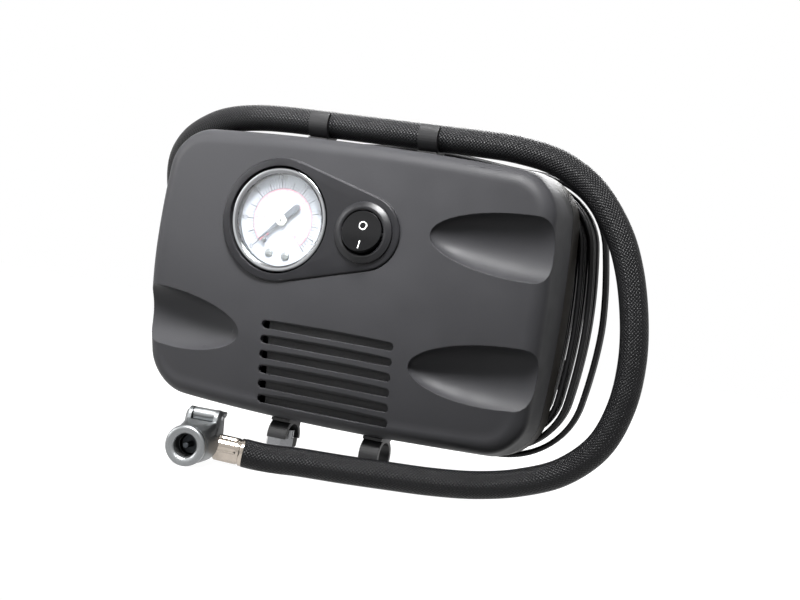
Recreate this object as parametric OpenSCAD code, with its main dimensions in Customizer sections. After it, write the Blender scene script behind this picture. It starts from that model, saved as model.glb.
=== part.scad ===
// Portable tire inflator: a two-shell housing with a pressure gauge, a rocker switch and a geared
// piston pump, a braided hose with a lever chuck, and a lead with a vehicle plug wound on the back.
// Millimetres. X runs to the right, Y to the back and Z up, with the origin on the floor under the housing.

/* [Housing] */
// Width of the housing across its bowed sides
body_w = 166; // [162:1:170]
// Height of the housing between its bowed top and bottom
body_h = 111.5; // [110:0.5:113]
// Height of the lowest point of the housing above the floor
body_z = 15; // [15:0.5:16]
// Corner radius of the housing seen from the front
corner_r = 17; // [15:0.5:20]
// Wall thickness of both shells
wall = 2.4; // [2.2:0.1:2.6]
// How far the gauge and switch pad lies in front of the seam between the shells
pad_depth = 28; // [27.5:0.5:28.5]
// Depth of the rear shell's side band
band_depth = 10.5; // [10:0.5:11]
// Depth from the seam to the back of the winding drum
drum_depth = 32.5; // [32:0.5:33]
// Width of the ledge around the winding drum
ledge = 13; // [12.5:0.5:13]

/* [Front controls] */
// Distance of the gauge left of the middle
gauge_x = -25.5; // [-27:0.5:-25]
// Distance of the switch right of the middle
switch_x = 10.5; // [10:0.5:12]
// Height of the gauge and the switch above the floor
control_z = 92; // [91:0.5:92.5]
// Outer diameter of the gauge's bezel
gauge_d = 40; // [39:0.5:40.5]
// Outer diameter of the switch's bezel
switch_d = 23.2; // [22.8:0.1:23.4]
// Number of air slots
slots = 6; // [4:1:6]
// Spacing of the air slots
slot_pitch = 5.8; // [5.6:0.1:5.9]
// Length of an air slot
slot_l = 55; // [50:1:57]
// Height of an air slot
slot_h = 3; // [2.6:0.1:3.2]

/* [Hose and lead] */
// Outer diameter of the braided hose
hose_d = 10.4; // [10:0.1:10.4]
// Width of the flat twin lead
lead_w = 4.4; // [4:0.1:4.4]
// Thickness of the flat twin lead
lead_t = 2.2; // [2:0.1:2.3]
// Turns of the lead on the drum
lead_turns = 7.055; // [5.055, 7.055]
// Spacing of the lead's turns across each layer
lead_pitch = 2.8; // [2.7:0.05:2.8]

/* [Pump] */
// Diameter of the motor's can
motor_d = 28; // [27:0.5:28]
// Teeth on the motor's pinion
pinion_teeth = 10; // [10]
// Teeth on the crank gear
gear_teeth = 42; // [42]
// Gear module
gear_module = 0.8; // [0.8]
// Distance from the crank's axis to the crank pin
crank_throw = 4; // [3:0.5:4]
// Bore of the cylinder
bore_d = 19; // [19:0.5:20]

/* [Hidden] */

$fn = 48;
fit = 0.05;
body_mid_z = body_z + body_h / 2;
bow_x = 3;
bow_z = 2.4;
seam_gap = 0.3;

// --- Points, vectors and swept tubes ---

function unit(v) = v / norm(v);
function lerp(a, b, t) = a + (b - a) * t;
function ease(t) = let(c = min(1, max(0, t))) c * c * (3 - 2 * c);
function flip(list) = [for (i = [len(list) - 1 : -1 : 0]) list[i]];

// A point on the smooth curve through p1 and p2, between its neighbours p0 and p3
function curve_point(p0, p1, p2, p3, t) =
    0.5 * (2 * p1 + (p2 - p0) * t + (2 * p0 - 5 * p1 + 4 * p2 - p3) * t * t
        + (3 * p1 - p0 - 3 * p2 + p3) * t * t * t);

// The curve through a list of points, with n steps between each pair
function smooth(p, n) = let(last = len(p) - 1) concat(
    [for (i = [0 : last - 1], k = [0 : n - 1])
        curve_point(p[max(i - 1, 0)], p[i], p[i + 1], p[min(i + 2, last)], k / n)],
    [p[last]]);

function tangent(p, i) = unit(p[min(i + 1, len(p) - 1)] - p[max(i - 1, 0)]);

// Side directions carried along a path without twist
function carried(p, side, i = 0) = i == len(p) ? [] :
    let(t = tangent(p, i), s = unit(side - (side * t) * t)) concat([s], carried(p, s, i + 1));

// The rings of a tube: half width a along the side direction and half thickness b across it
function rings(p, a, b, sides, side) = let(s = carried(p, side)) [
    for (i = [0 : len(p) - 1])
        let(t = tangent(p, i), v = cross(t, s[i]))
            [for (k = [0 : sides - 1])
                p[i] + a * cos(360 * k / sides) * s[i] + b * sin(360 * k / sides) * v]
];

function path_length(p, i = 0) = i >= len(p) - 1 ? 0 : norm(p[i + 1] - p[i]) + path_length(p, i + 1);

// A closed skin over rings that all have the same number of points
module skin(r) {
    n = len(r[0]);
    last = len(r) - 1;
    points = [for (ring = r, q = ring) q];
    polyhedron(points, concat(
        [for (i = [0 : last - 1], k = [0 : n - 1]) let(a = i * n + k, b = i * n + (k + 1) % n)
            for (f = [[a, a + n, b], [b, a + n, b + n]]) f],
        [[for (k = [0 : n - 1]) k]],
        [[for (k = [n - 1 : -1 : 0]) last * n + k]]
    ), convexity = 10);
}

module tube(p, a, b, sides, side) {
    skin(rings(p, a, b, sides, side));
}

// A cylinder from a point along an axis: 0 is X, 1 is Y and 2 is Z
module along(at, axis) {
    translate(at) rotate([[0, 90, 0], [-90, 0, 0], [0, 0, 0]][axis]) children();
}

module rod(at, axis, l, r) {
    along(at, axis) cylinder(h = l, r = r);
}

// A turned piece from its profile: pairs of a radius and a distance along the axis
module turned(at, axis, profile) {
    along(at, axis) rotate_extrude() polygon(profile);
}

// Puts a child that points up at a point and turns it towards another point
module toward(from, to) {
    v = to - from;
    translate(from) rotate([0, acos(v[2] / norm(v)), atan2(v[1], v[0])]) children();
}

module ring(at, axis, l, r_out, r_in) {
    back = [[1, 0, 0], [0, 1, 0], [0, 0, 1]][axis];
    difference() {
        rod(at, axis, l, r_out);
        rod(at - back, axis, l + 2, r_in);
    }
}

module box(low, high) {
    translate(low) cube(high - low);
}

// --- Housing outline and face ---

corner_steps = 6;
long_steps = 8;
short_steps = 4;

// One corner of a rounded rectangle as points, from its start angle
function corner_arc(cx, cz, r, from) = [
    for (i = [0 : corner_steps]) let(a = from + 90 * i / corner_steps)
        [cx + r * cos(a), cz + r * sin(a)]
];

function side_points(p, q, n) = [for (i = [1 : n - 1]) lerp(p, q, i / n)];

// The housing's outline, counter-clockwise seen from the front, drawn in by an inset
function outline(inset) = let(
    a = body_w / 2 - inset, b = body_h / 2 - inset, r = max(corner_r - inset, 3),
    arcs = [corner_arc(a - r, b - r, r, 0), corner_arc(r - a, b - r, r, 90),
        corner_arc(r - a, r - b, r, 180), corner_arc(a - r, r - b, r, 270)],
    ends = [for (i = [0 : 3]) [arcs[i][corner_steps], arcs[(i + 1) % 4][0]]],
    steps = [long_steps, short_steps, long_steps, short_steps])
    [for (i = [0 : 3]) for (q = concat(arcs[i], side_points(ends[i][0], ends[i][1], steps[i])))
        [q[0] * (1 - bow_x / a * pow(q[1] / b, 2)), q[1] * (1 - bow_z / b * pow(q[0] / a, 2))]];

// Depth of the front face at a place: it leans back below the controls and towards the sides
function face_y(x, z) = let(low = max(0, control_z - 14 - z), high = max(0, z - control_z + 14))
    0.5 - pad_depth + 0.0027 * low * low + 0.0008 * high * high
        + pow(abs(x) / (body_w / 2), 2.5) * (3.6 + 0.05 * (body_z + body_h - z));

edge_r = 6.5;
draft = 1.2;

// A ring of the front skin: k runs from the seam over the rounded edge to the middle of the face
function band_ring(inset, y) = [for (q = outline(inset)) [q[0], y, body_mid_z + q[1]]];
function edge_ring(grow, turn) = let(
    foot = outline(draft + edge_r + grow),
    here = outline(draft + grow + edge_r * (1 - cos(turn))))
    [for (i = [0 : len(foot) - 1]) let(z = body_mid_z + foot[i][1])
        [here[i][0], face_y(foot[i][0], z) + grow + edge_r * (1 - sin(turn)), body_mid_z + here[i][1]]];
function face_ring(grow, inset) = [for (q = outline(inset + grow))
    [q[0], face_y(q[0], body_mid_z + q[1]) + grow, body_mid_z + q[1]]];

// Rings of the outer skin and of the plainer inner skin
edge_turns = [[0, 30, 60, 90], [0, 90]];
face_insets = [[16, 28, 42, 51.5], [30, 49]];

// The solid inside the outer or the inner skin, drawn in by grow, from the seam plane forward
module front_solid(grow, seam_y) {
    kind = grow > 0 ? 1 : 0;
    skin(concat([band_ring(grow, seam_y)],
        [for (t = edge_turns[kind]) edge_ring(grow, t)],
        [for (i = face_insets[kind]) face_ring(grow, i)]));
}

// A finger dent: a long bowl that widens towards the side of the housing
module dent(x, y, z, grow) {
    translate([x, y, z]) scale([48 + grow, 10 + grow, 13.4 + grow]) sphere(r = 1, $fn = 22);
}

module dents(grow) {
    dent(84, -27, 95.2, grow);
    dent(82.5, -23, 46, grow);
    dent(-84.5, -23, 46.6, grow);
}

pad_gauge_r = 23.7;
pad_switch_r = 14.2;

module pad(y, l, grow) {
    hull() {
        rod([gauge_x, y, control_z], 1, l, pad_gauge_r + grow, $fn = 40);
        rod([switch_x, y, control_z], 1, l, pad_switch_r + grow, $fn = 32);
    }
}

slot_top_z = 51.7;

module slot_cuts() {
    for (i = [0 : slots - 1]) {
        z = slot_top_z - i * slot_pitch;
        hull() for (s = [-1, 1])
            rod([0.9 + s * (slot_l - slot_h) / 2, -pad_depth - 5, z], 1, 20, slot_h / 2, $fn = 12);
    }
}

// Screws: X, Z and how far the front shell's post starts behind the face
screw_places = [[-52, 34.5, 1.5], [62, 34.5, 3.6], [-62, 76, 1.5], [62, 106, 5.7]];

module front_housing() color([0.17, 0.17, 0.18]) {
    difference() {
        union() {
            difference() {
                union() {
                    front_solid(0, -seam_gap);
                    pad(-pad_depth, 6, 0);
                }
                difference() {
                    front_solid(wall, 0.1);
                    dents(wall);
                }
                dents(0);
            }
            // Collars behind the pad that hold the gauge and the switch
            rod([gauge_x, -pad_depth + 1, control_z], 1, 10, gauge_d / 2 + 2.6, $fn = 32);
            rod([switch_x, -pad_depth + 1, control_z], 1, 4, 12.4, $fn = 24);
            // Screw posts
            for (p = screw_places) hull() {
                rod([p[0], face_y(p[0], p[1]) + p[2], p[1]], 1, 2, 4.6, $fn = 12);
                rod([p[0], -3, p[1]], 1, 2.5, 3.6, $fn = 12);
            }
            // Ribs that cradle the motor
            for (x = [-28, -12]) box([x, -6.5, 16.5], [x + 2.5, -0.5, 40]);
        }
        rod([motor_left - 1, pump_y, motor_z], 0, 45, motor_d / 2 + fit, $fn = 32);
        rod([gauge_x, -pad_depth - 2, control_z], 1, 16, gauge_d / 2 + 0.6, $fn = 36);
        rod([switch_x, -pad_depth - 2, control_z], 1, 12, 10.05, $fn = 28);
        slot_cuts();
        for (p = screw_places) rod([p[0], -12, p[1]], 1, 20, 1.4, $fn = 8);
        // Seats and sockets of the hose clips
        for (i = [0, 1]) {
            seat(clip_x[i][0], bottom_hose_z, -1);
            seat(clip_x[i][1], top_hose_z, 1);
        }
    }
}

module seat(x, z, up) {
    for (p = [[4, 5.1, 7.2, 3], [2.1, 2.1, 11, 5]])
        box([x - p[0], clip_y - p[1], up > 0 ? z - p[2] : z + p[3]],
            [x + p[0], clip_y + p[1], up > 0 ? z - p[3] : z + p[2]]);
}

// --- Rear shell with the winding drum ---

drum_w = body_w - 2 * ledge;
drum_h = body_h - 2 * ledge;
drum_r = 12;
drum_low = body_mid_z - drum_h / 2;
drum_high = body_mid_z + drum_h / 2;

module drum(y, l, grow) {
    hull() for (sx = [-1, 1], sz = [-1, 1])
        rod([sx * (drum_w / 2 - drum_r), y, body_mid_z + sz * (drum_h / 2 - drum_r)], 1, l, drum_r + grow,
            $fn = 32);
}

module slab(y, l, inset) {
    hull() skin([band_ring(inset, y), band_ring(inset, y + l)]);
}

plug_z = 96.6;
plug_y = 22;
trough_r = 11.6;
trough_x = [-drum_w / 2 - 1, 40];

// The trough that holds the parked plug, open at the back and at the left
module trough(grow) {
    hull() for (y = [plug_y + 0.5, drum_depth + 10])
        rod([trough_x[0] - 5, y, plug_z], 0, trough_x[1] - trough_x[0] + 5 + grow, trough_r + grow, $fn = 32);
}

// Lugs on the drum's edge that keep the lead from slipping off
module lug(x, z, dx, dz, reach) {
    hull() {
        box([x - dx / 2, drum_depth - 2.6, z - dz / 2], [x + dx / 2, drum_depth, z + dz / 2]);
        box([x - dx / 2 + reach[0], drum_depth - 2.2, z - dz / 2 + reach[1]],
            [x + dx / 2 + reach[0], drum_depth - 0.4, z + dz / 2 + reach[1]]);
    }
}

foot_x = [-34, 7];
gland_at = [-drum_w / 2, 26, 56];
gland_lean = 45;
gland_r = hose_d / 2 + 0.1;

module along_gland(back) {
    translate(gland_at) rotate([0, -gland_lean, 0]) translate([0, 0, -back]) children();
}

module rear_housing() color([0.16, 0.16, 0.165]) {
    difference() {
        union() {
            difference() {
                hull() {
                    slab(0, band_depth - 1.5, 0);
                    slab(band_depth - 0.2, 0.2, 1.4);
                }
                slab(-1, band_depth - wall + 1, wall);
            }
            // Lip that centres the shells
            difference() {
                union() {
                    slab(-2, 3, wall + 0.35);
                    slab(0, 3, wall - 0.3);
                }
                slab(-3, 7, wall + 1.3);
            }
            drum(band_depth - wall, drum_depth - band_depth + wall, 0);
            for (x = [-40, 24]) lug(x, drum_high - 2, 16, 4, [0, 10]);
            for (z = [50, 92]) lug(drum_w / 2 - 2, z, 4, 12, [9, 0]);
            lug(2 - drum_w / 2, 43, 4, 10, [-9, 0]);
            // Feet under the drum
            for (x = foot_x) hull() {
                box([x - 5, drum_depth - 9, drum_low], [x + 5, drum_depth, drum_low + 2]);
                box([x - 4, drum_depth - 8, 0], [x + 4, drum_depth - 1, 2]);
            }
        }
        difference() {
            drum(-5, drum_depth - wall + 5, -wall);
            trough(wall);
            for (p = screw_places) rod([p[0], 0, p[1]], 1, 40, 4.6, $fn = 24);
        }
        trough(0);
        for (p = screw_places) {
            rod([p[0], -1, p[1]], 1, 50, 1.75, $fn = 16);
            rod([p[0], 6, p[1]], 1, 50, 3.5, $fn = 20);
        }
        along_gland(12) cylinder(h = 24, r = gland_r + 0.1);
        // Groove where the lead and its strain relief come out of the drum
        hull() for (t = [-relief_l - 3, 20]) translate(lead_start + t * lead_dir) sphere(r = 4.2, $fn = 16);
    }
    // Posts that meet the front shell's screw posts
    for (p = screw_places) difference() {
        rod([p[0], -0.5, p[1]], 1, 10, 4.4, $fn = 24);
        rod([p[0], -1, p[1]], 1, 20, 1.75, $fn = 16);
        rod([p[0], 6, p[1]], 1, 20, 3.5, $fn = 20);
    }
}

module housing_screws() color([0.55, 0.55, 0.57]) for (p = screw_places) difference() {
    union() {
        rod([p[0], 6, p[1]], 1, 2.2, 3.1);
        rod([p[0], -10, p[1]], 1, 16.5, 1.3 - fit);
    }
    for (a = [0, 90]) translate([p[0], 8.2, p[1]]) rotate([0, a, 0])
        box([-1.9, -1.2, -0.4], [1.9, 1, 0.4]);
}

// --- Hose clips ---

clip_x = [[-18.5, -22], [20.7, 23.9]];
clip_y = -7;
clip_l = 7.8;
clip_wall = 1.5;
clip_gap = hose_d / 2 + 0.1;
top_hose_z = body_z + body_h + 5.7;
bottom_hose_z = body_z - 6;

function circle_points(r, from, to, n) = [for (i = [0 : n]) let(a = lerp(from, to, i / n)) r * [cos(a), sin(a)]];

// A clip's section, open upwards: both arms reach an angle past the middle, and one ends in a lip
module clip_section(reach, lip) {
    r_in = clip_gap;
    r_out = clip_gap + clip_wall;
    foot = [r_out * cos(reach), r_out * sin(reach)];
    flare = (lip - foot[1]) * 0.25;
    polygon(concat(circle_points(r_out, 180 - reach, 360 + reach, 32),
        lip > 0 ? [[foot[0] + flare, lip], [foot[0] + flare - clip_wall, lip]] : [],
        flip(circle_points(r_in, 180 - reach, 360 + reach, 32))));
}

module clip_foot() {
    // Foot plate and the stub that snaps into the shell
    box([-clip_l / 2, -5, -7.1], [clip_l / 2, 5, -5.9]);
    box([-2, -2, -10.2], [2, 2, -6]);
}

module section_along_x() {
    rotate([90, 0, 90]) translate([0, 0, -clip_l / 2]) linear_extrude(height = clip_l) children();
}

module top_clip(x) color([0.1, 0.1, 0.105]) translate([x, clip_y, top_hose_z]) {
    section_along_x() clip_section(38, 0);
    clip_foot();
}

// The bottom clips hang open downwards: one is empty and stands on its lip, and one holds the adapter
module bottom_clip(x, reach, lip) color([0.1, 0.1, 0.105])
    translate([x, clip_y, bottom_hose_z]) rotate([180, 0, 0]) {
        section_along_x() clip_section(reach, lip);
        clip_foot();
    }

module hose_clip_top_left() { top_clip(clip_x[0][1]); }
module hose_clip_top_right() { top_clip(clip_x[1][1]); }
module hose_clip_bottom_left() { bottom_clip(clip_x[0][0], 5, 0); }
module hose_clip_bottom_right() { bottom_clip(clip_x[1][0], 32, bottom_hose_z); }

// --- Pressure gauge ---

gauge_y = 0.5 - pad_depth;
dial_y = -20;
sector_y = -18.5;
sector_drop = 12.4;
needle_ratio = 6.75;
needle_zero = 225;
staff_r = 0.6;

module at_gauge(y, drop = 0) {
    translate([gauge_x, y, control_z - drop]) children();
}

module gauge_case() color([0.8, 0.8, 0.8]) difference() {
    turned([gauge_x, gauge_y, control_z], 1, [[0, 23.7], [0, 24.5], [gauge_d / 2 - 1.4, 24.5],
        [gauge_d / 2 - 1.4, 5.5], [gauge_d / 2, 5.5], [gauge_d / 2, 0.6], [gauge_d / 2 - 0.6, 0],
        [gauge_d / 2 - 1.5, 0], [gauge_d / 2 - 2.3, 0.8], [gauge_d / 2 - 1.75, 0.8],
        [gauge_d / 2 - 1.75, 2.5], [gauge_d / 2 - 2.2, 2.5], [gauge_d / 2 - 2.2, 23.7]]);
    at_gauge(-5, sector_drop) rod([0, 0, 0], 1, 5, 3);
}

module gauge_lens() color([0.85, 0.9, 0.92, 0.35])
    turned([gauge_x, gauge_y, control_z], 1, [[0, 0.25], [9, 0.5], [gauge_d / 2 - 2.5, 0.9],
        [gauge_d / 2 - 1.8, 0.9], [gauge_d / 2 - 1.8, 2.4], [0, 2.4]]);

dial_screws = [[-3.6, -13], [3.4, -13.4]];

stop_pin = [-6.2, -8.3];

module gauge_dial() color([0.93, 0.93, 0.92]) difference() {
    union() {
        rod([gauge_x, dial_y, control_z], 1, 0.6, gauge_d / 2 - 2.4);
        rod([gauge_x + stop_pin[0], dial_y - 1.6, control_z + stop_pin[1]], 1, 1.9, 0.8);
    }
    rod([gauge_x, dial_y - 1, control_z], 1, 3, 1.2);
    for (p = dial_screws) rod([gauge_x + p[0], dial_y - 1, control_z + p[1]], 1, 3, 0.7);
}

module gauge_dial_screws() color([0.5, 0.5, 0.5]) for (p = dial_screws)
    translate([gauge_x + p[0], dial_y, control_z + p[1]]) {
        difference() {
            rod([0, -0.7, 0], 1, 0.7, 1.6);
            box([-1.7, -1, -0.25], [1.7, -0.35, 0.25]);
        }
        rod([0, 0, 0], 1, 0.8, 0.65);
    }

// Points of a gear's outline, its first tooth on the +X side
function gear_points(teeth, m, addendum, dedendum) = let(step = 360 / teeth, r = m * teeth / 2)
    [for (i = [0 : teeth - 1]) for (q = [[-0.31, -dedendum], [-0.15, addendum], [0.15, addendum],
        [0.31, -dedendum]]) let(a = (i + q[0]) * step) (r + q[1] * m) * [cos(a), sin(a)]];

gauge_m = 0.4;

module gauge_needle() color([0.25, 0.25, 0.27]) at_gauge(0) {
    rod([0, dial_y - 1.7, 0], 1, 0.9, 2.2);
    rod([0, dial_y - 2, 0], 1, 7.5, staff_r);
    along([0, dial_y - 1.3, 0], 1) rotate([0, 0, needle_zero]) linear_extrude(height = 0.4)
        polygon([[-1.3, 8.6], [-0.7, 9.2], [0.7, 9.2], [1.3, 8.6], [0.9, 0], [0.25, -12.5], [-0.25, -12.5],
            [-0.9, 0]]);
    along([0, sector_y, 0], 1) rotate([0, 0, 22.5]) linear_extrude(height = 0.8)
        polygon(gear_points(8, gauge_m, 0.7, 1.1));
}

module gauge_sector() color([0.78, 0.62, 0.25]) at_gauge(sector_y, sector_drop) difference() {
    union() {
        along([0, 0, 0], 1) linear_extrude(height = 0.8) intersection() {
            rotate(180 / 54) polygon(gear_points(54, gauge_m, 0.7, 1.1));
            polygon([[0, 3], [-3, -10], [-2, -14], [10, -11], [13, -3], [4, 2]]);
        }
        rod([0, 0, 0], 1, 0.8, 2.4);
        along([0, 0, 0], 1) linear_extrude(height = 0.8) polygon([[-1, 0], [1, 0], [6, 3], [5, 4]]);
    }
    rod([0, -1, 0], 1, 3, 0.8 + fit);
}

module gauge_movement() color([0.76, 0.6, 0.26]) at_gauge(0) {
    difference() {
        for (y = [-19.2, -17.5]) box([-4, y, -17], [4, y + 0.5, 4.5]);
        rod([0, -21, 0], 1, 6, staff_r + fit);
    }
    rod([0, -18.9, -sector_drop], 1, 1.6, 0.8);
    for (x = [-3, 3]) rod([x, -18.9, 3.4], 1, 1.6, 0.6);
}

module bourdon_tube() color([0.8, 0.65, 0.3]) at_gauge(0) difference() {
    ring([0, -15, 0], 1, 4, 12.8, 11.2);
    along([0, -16, 0], 1) linear_extrude(height = 6) polygon([[0, 0], [0, 16], [16, 16], [16, -4]]);
}

module gauge_socket() color([0.8, 0.66, 0.32]) at_gauge(0) {
    difference() {
        box([-3.5, -17, -17], [3.5, -3.8, -10.4]);
        ring([0, -15.1, 0], 1, 4.2, 12.9, 11.1);
    }
    rod([0, -3.8, -sector_drop], 1, 6, 2.9);
}

// --- Switch ---

rocker_y = -28.8;
rocker_tilt = 11;
switch_r = 9.8;
rocker_r = 8.05;

module switch_body() color([0.05, 0.05, 0.055]) difference() {
    turned([switch_x, -30, control_z], 1, [[0, 10], [0, 17], [switch_r, 17], [switch_r, 2],
        [switch_d / 2, 2], [switch_d / 2, 0.9], [switch_d / 2 - 1.3, 0], [8.7, 0], [8.35, 0.5],
        [8.35, 8], [7, 10]]);
    rod([switch_x - 9.2, rocker_y, control_z], 0, 18.4, 1 + fit);
}

module switch_rocker() color([0.07, 0.07, 0.075]) translate([switch_x, rocker_y, control_z])
    rotate([-rocker_tilt, 0, 0]) {
        difference() {
            sphere(r = rocker_r);
            rod([-20, -41.6, 0], 0, 40, 40);
            box([-20, 3, -20], [20, 20, 20]);
        }
        rod([-9, 0, 0], 0, 18, 1);
    }

module switch_terminals() color([0.8, 0.68, 0.4]) for (z = [-5, 5])
    box([switch_x - 2.4, -13, control_z + z - 0.4], [switch_x + 2.4, -5.5, control_z + z + 0.4]);

// --- Motor ---

pump_y = -4.3;
motor_z = 47;
crank_z = motor_z + (pinion_teeth + gear_teeth) * gear_module / 2;
motor_left = -41;
motor_right = -3;
motor_r = motor_d / 2;
shaft_r = 1.15;

module at_motor(x) {
    translate([x, pump_y, motor_z]) children();
}

module motor_can() color([0.72, 0.73, 0.74]) at_motor(motor_left) difference() {
    l = motor_right - motor_left;
    rod([0, 0, 0], 0, l, motor_r);
    rod([-1, 0, 0], 0, l, motor_r - 1);
    rod([0, 0, 0], 0, l + 1, shaft_r + fit);
    for (y = [-8, 8]) rod([0, y, 0], 0, l + 1, 1.25);
}

module motor_end_cap() color([0.1, 0.1, 0.11]) at_motor(motor_left) {
    difference() {
        union() {
            rod([-5, 0, 0], 0, 5, motor_r - 3.6);
            rod([0, 0, 0], 0, 3, motor_r - 1 - fit);
        }
        rod([-3, 0, 0], 0, 8, motor_r - 5.2);
        rod([-6, 0, 0], 0, 8, shaft_r + fit);
    }
    for (z = [-6, 6]) box([-8, -2, z - 0.4], [-5, 2, z + 0.4]);
}

module motor_magnets() color([0.2, 0.2, 0.21]) at_motor(motor_left) difference() {
    ring([5, 0, 0], 0, 26, motor_r - 1.05, motor_r - 2.6);
    for (s = [-1, 1]) box([4, s * 10 - 6, -4.5], [32, s * 10 + 6, 4.5]);
}

module motor_rotor() color([0.7, 0.45, 0.25]) at_motor(motor_left) {
    difference() {
        rod([7, 0, 0], 0, 22, motor_r - 3);
        for (a = [0 : 72 : 288]) rotate([a, 0, 0]) box([6, -0.8, 8], [30, 0.8, 12]);
    }
    rod([-0.5, 0, 0], 0, 5, 3.4);
    rod([-5, 0, 0], 0, motor_right - motor_left + 5 + 8, shaft_r);
    for (a = [36 : 72 : 324]) rotate([a, 0, 0]) hull() for (x = [5.6, 30.4]) translate([x, 0, 6])
        sphere(r = 2.2, $fn = 8);
}

pinion_x = 0.5;
gear_x = 1;
gear_w = 5.5;

module motor_pinion() color([0.8, 0.8, 0.78]) translate([pinion_x, pump_y, motor_z]) difference() {
    rotate([90, 0, 90]) linear_extrude(height = 6.5)
        polygon(gear_points(pinion_teeth, gear_module, 0.7, 1.1));
    rod([-1, 0, 0], 0, 10, shaft_r);
}

module motor_screws() color([0.6, 0.6, 0.62]) for (y = [-8, 8]) at_motor(motor_right) {
    rod([2.5, y, 0], 0, 1.3, 2.1);
    rod([-3, y, 0], 0, 5.5, 1.2);
}

// --- Pump ---

crank_r = 2.5;
bush_r = 3.5;
cylinder_x = 23;
cylinder_low = 26.4;
cylinder_high = 50.5;
cylinder_r = bore_d / 2 + 1.8;
bolt_reach = 13.8;
posts = [[-15.4, 54.3], [15.4, 54.3]];
plate_left = [motor_right, motor_right + 2.5];
plate_right = [8, 12];

// A flat plate across X with rounded corners round the crank, the posts and what else it reaches
module plate(x, l, extra) {
    translate([x, pump_y, 0]) rotate([90, 0, 90]) linear_extrude(height = l) hull() {
        translate([0, crank_z]) circle(r = 7);
        for (p = posts) translate(p) circle(r = 4);
        translate(extra) children();
    }
}

module pump_frame() color([0.68, 0.69, 0.7]) difference() {
    union() {
        plate(plate_left[0], plate_left[1] - plate_left[0], [0, motor_z]) circle(r = 12);
        plate(plate_right[0], plate_right[1] - plate_right[0], [-9, 49]) square([18, 2]);
        rod([7, pump_y, crank_z], 0, 7.5, 6.5);
        for (p = posts) rod([plate_left[1] - 0.5, pump_y + p[0], p[1]], 0, 9.5, 2.6);
        box([7.6, pump_y - 12.8, 47.5], [cylinder_x + 17, pump_y + 12.8, cylinder_high]);
    }
    for (x = [plate_left[0] - 1, 6]) rod([x, pump_y, crank_z], 0, 9, bush_r);
    rod([plate_left[0] - 1, pump_y, motor_z], 0, 5, 4);
    for (y = [-8, 8]) rod([plate_left[0] - 1, pump_y + y, motor_z], 0, 5, 1.25);
    rod([cylinder_x, pump_y, 40], 2, 20, cylinder_r);
    for (s = [-1, 1]) rod([cylinder_x + s * bolt_reach, pump_y, 40], 2, 20, 1);
}

module crank_bushes() color([0.8, 0.62, 0.3]) {
    ring([plate_left[0], pump_y, crank_z], 0, plate_left[1] - plate_left[0], bush_r, crank_r + fit);
    ring([7, pump_y, crank_z], 0, 7.5, bush_r, crank_r + fit);
}

module crank_gear() color([0.9, 0.89, 0.84]) translate([gear_x, pump_y, crank_z]) difference() {
    union() {
        difference() {
            rotate([90, 0, 90]) rotate([0, 0, 270]) linear_extrude(height = gear_w)
                polygon(gear_points(gear_teeth, gear_module, 0.7, 1.1));
            ring([-1, 0, 0], 0, 2.5, 14, 6);
            ring([gear_w - 1.5, 0, 0], 0, 2.5, 14, 6);
        }
    }
    rod([-1, 0, 0], 0, 10, crank_r);
    for (a = [0 : 60 : 300]) rotate([a, 0, 0]) rod([-1, 0, 10], 0, 10, 2.6);
}

crank_disc_x = 15.5;
rod_x = [cylinder_x - 2, cylinder_x + 2];
rod_l = 28;
pin_z = crank_z - crank_throw;
wrist_z = pin_z - rod_l;

module crank_shaft() color([0.62, 0.63, 0.65]) translate([0, pump_y, crank_z]) {
    rod([plate_left[0] + 0.3, 0, 0], 0, crank_disc_x - plate_left[0], crank_r);
    difference() {
        rod([crank_disc_x, 0, 0], 0, 4.5, 9);
        for (a = [120, 180, 240]) rotate([a, 0, 0]) rod([crank_disc_x - 1, 0, -5.8], 0, 7, 1.8);
    }
    rod([crank_disc_x + 4, 0, -crank_throw], 0, rod_x[1] + 0.8 - crank_disc_x - 4, 2);
}

module connecting_rod() color([0.82, 0.82, 0.8]) translate([rod_x[0], pump_y, pin_z]) difference() {
    l = rod_x[1] - rod_x[0];
    union() {
        rod([0, 0, 0], 0, l, 4.5);
        rod([0, 0, -rod_l], 0, l, 2.6);
        box([0, -1.9, -rod_l + 1], [l, 1.9, -2]);
    }
    rod([-1, 0, 0], 0, l + 2, 2 + fit);
    rod([-1, 0, -rod_l], 0, l + 2, 1.5);
    for (s = [0, 1]) box([s ? l - 1 : -1, -1, -rod_l + 4.5], [s ? l + 1 : 1, 1, -6]);
}

module wrist_pin() color([0.75, 0.76, 0.78])
    rod([cylinder_x - 4.5, pump_y, wrist_z], 0, 9, 1.5);

piston_low = wrist_z - 6.5;

module at_piston(z) {
    translate([cylinder_x, pump_y, z]) children();
}

module piston() color([0.75, 0.75, 0.74]) at_piston(piston_low) difference() {
    rod([0, 0, 0], 2, 12.7, bore_d / 2 - 0.1);
    rod([0, 0, 3], 2, 12, 7.7);
    ring([0, 0, 4], 2, 2.2, 12, 8.6);
}

module piston_seal() color([0.06, 0.06, 0.06]) at_piston(piston_low + 4) ring([0, 0, 0], 2, 2.2,
    bore_d / 2, 8.6);

module pump_cylinder() color([0.7, 0.71, 0.72]) at_piston(0) difference() {
    union() {
        rod([0, 0, cylinder_low], 2, cylinder_high - cylinder_low, cylinder_r);
        for (z = [31 : 3 : 43]) rod([0, 0, z], 2, 1.1, 12);
    }
    rod([0, 0, 20], 2, 40, bore_d / 2);
}

head_low = 22;
valve_z = 24.1;

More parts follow.
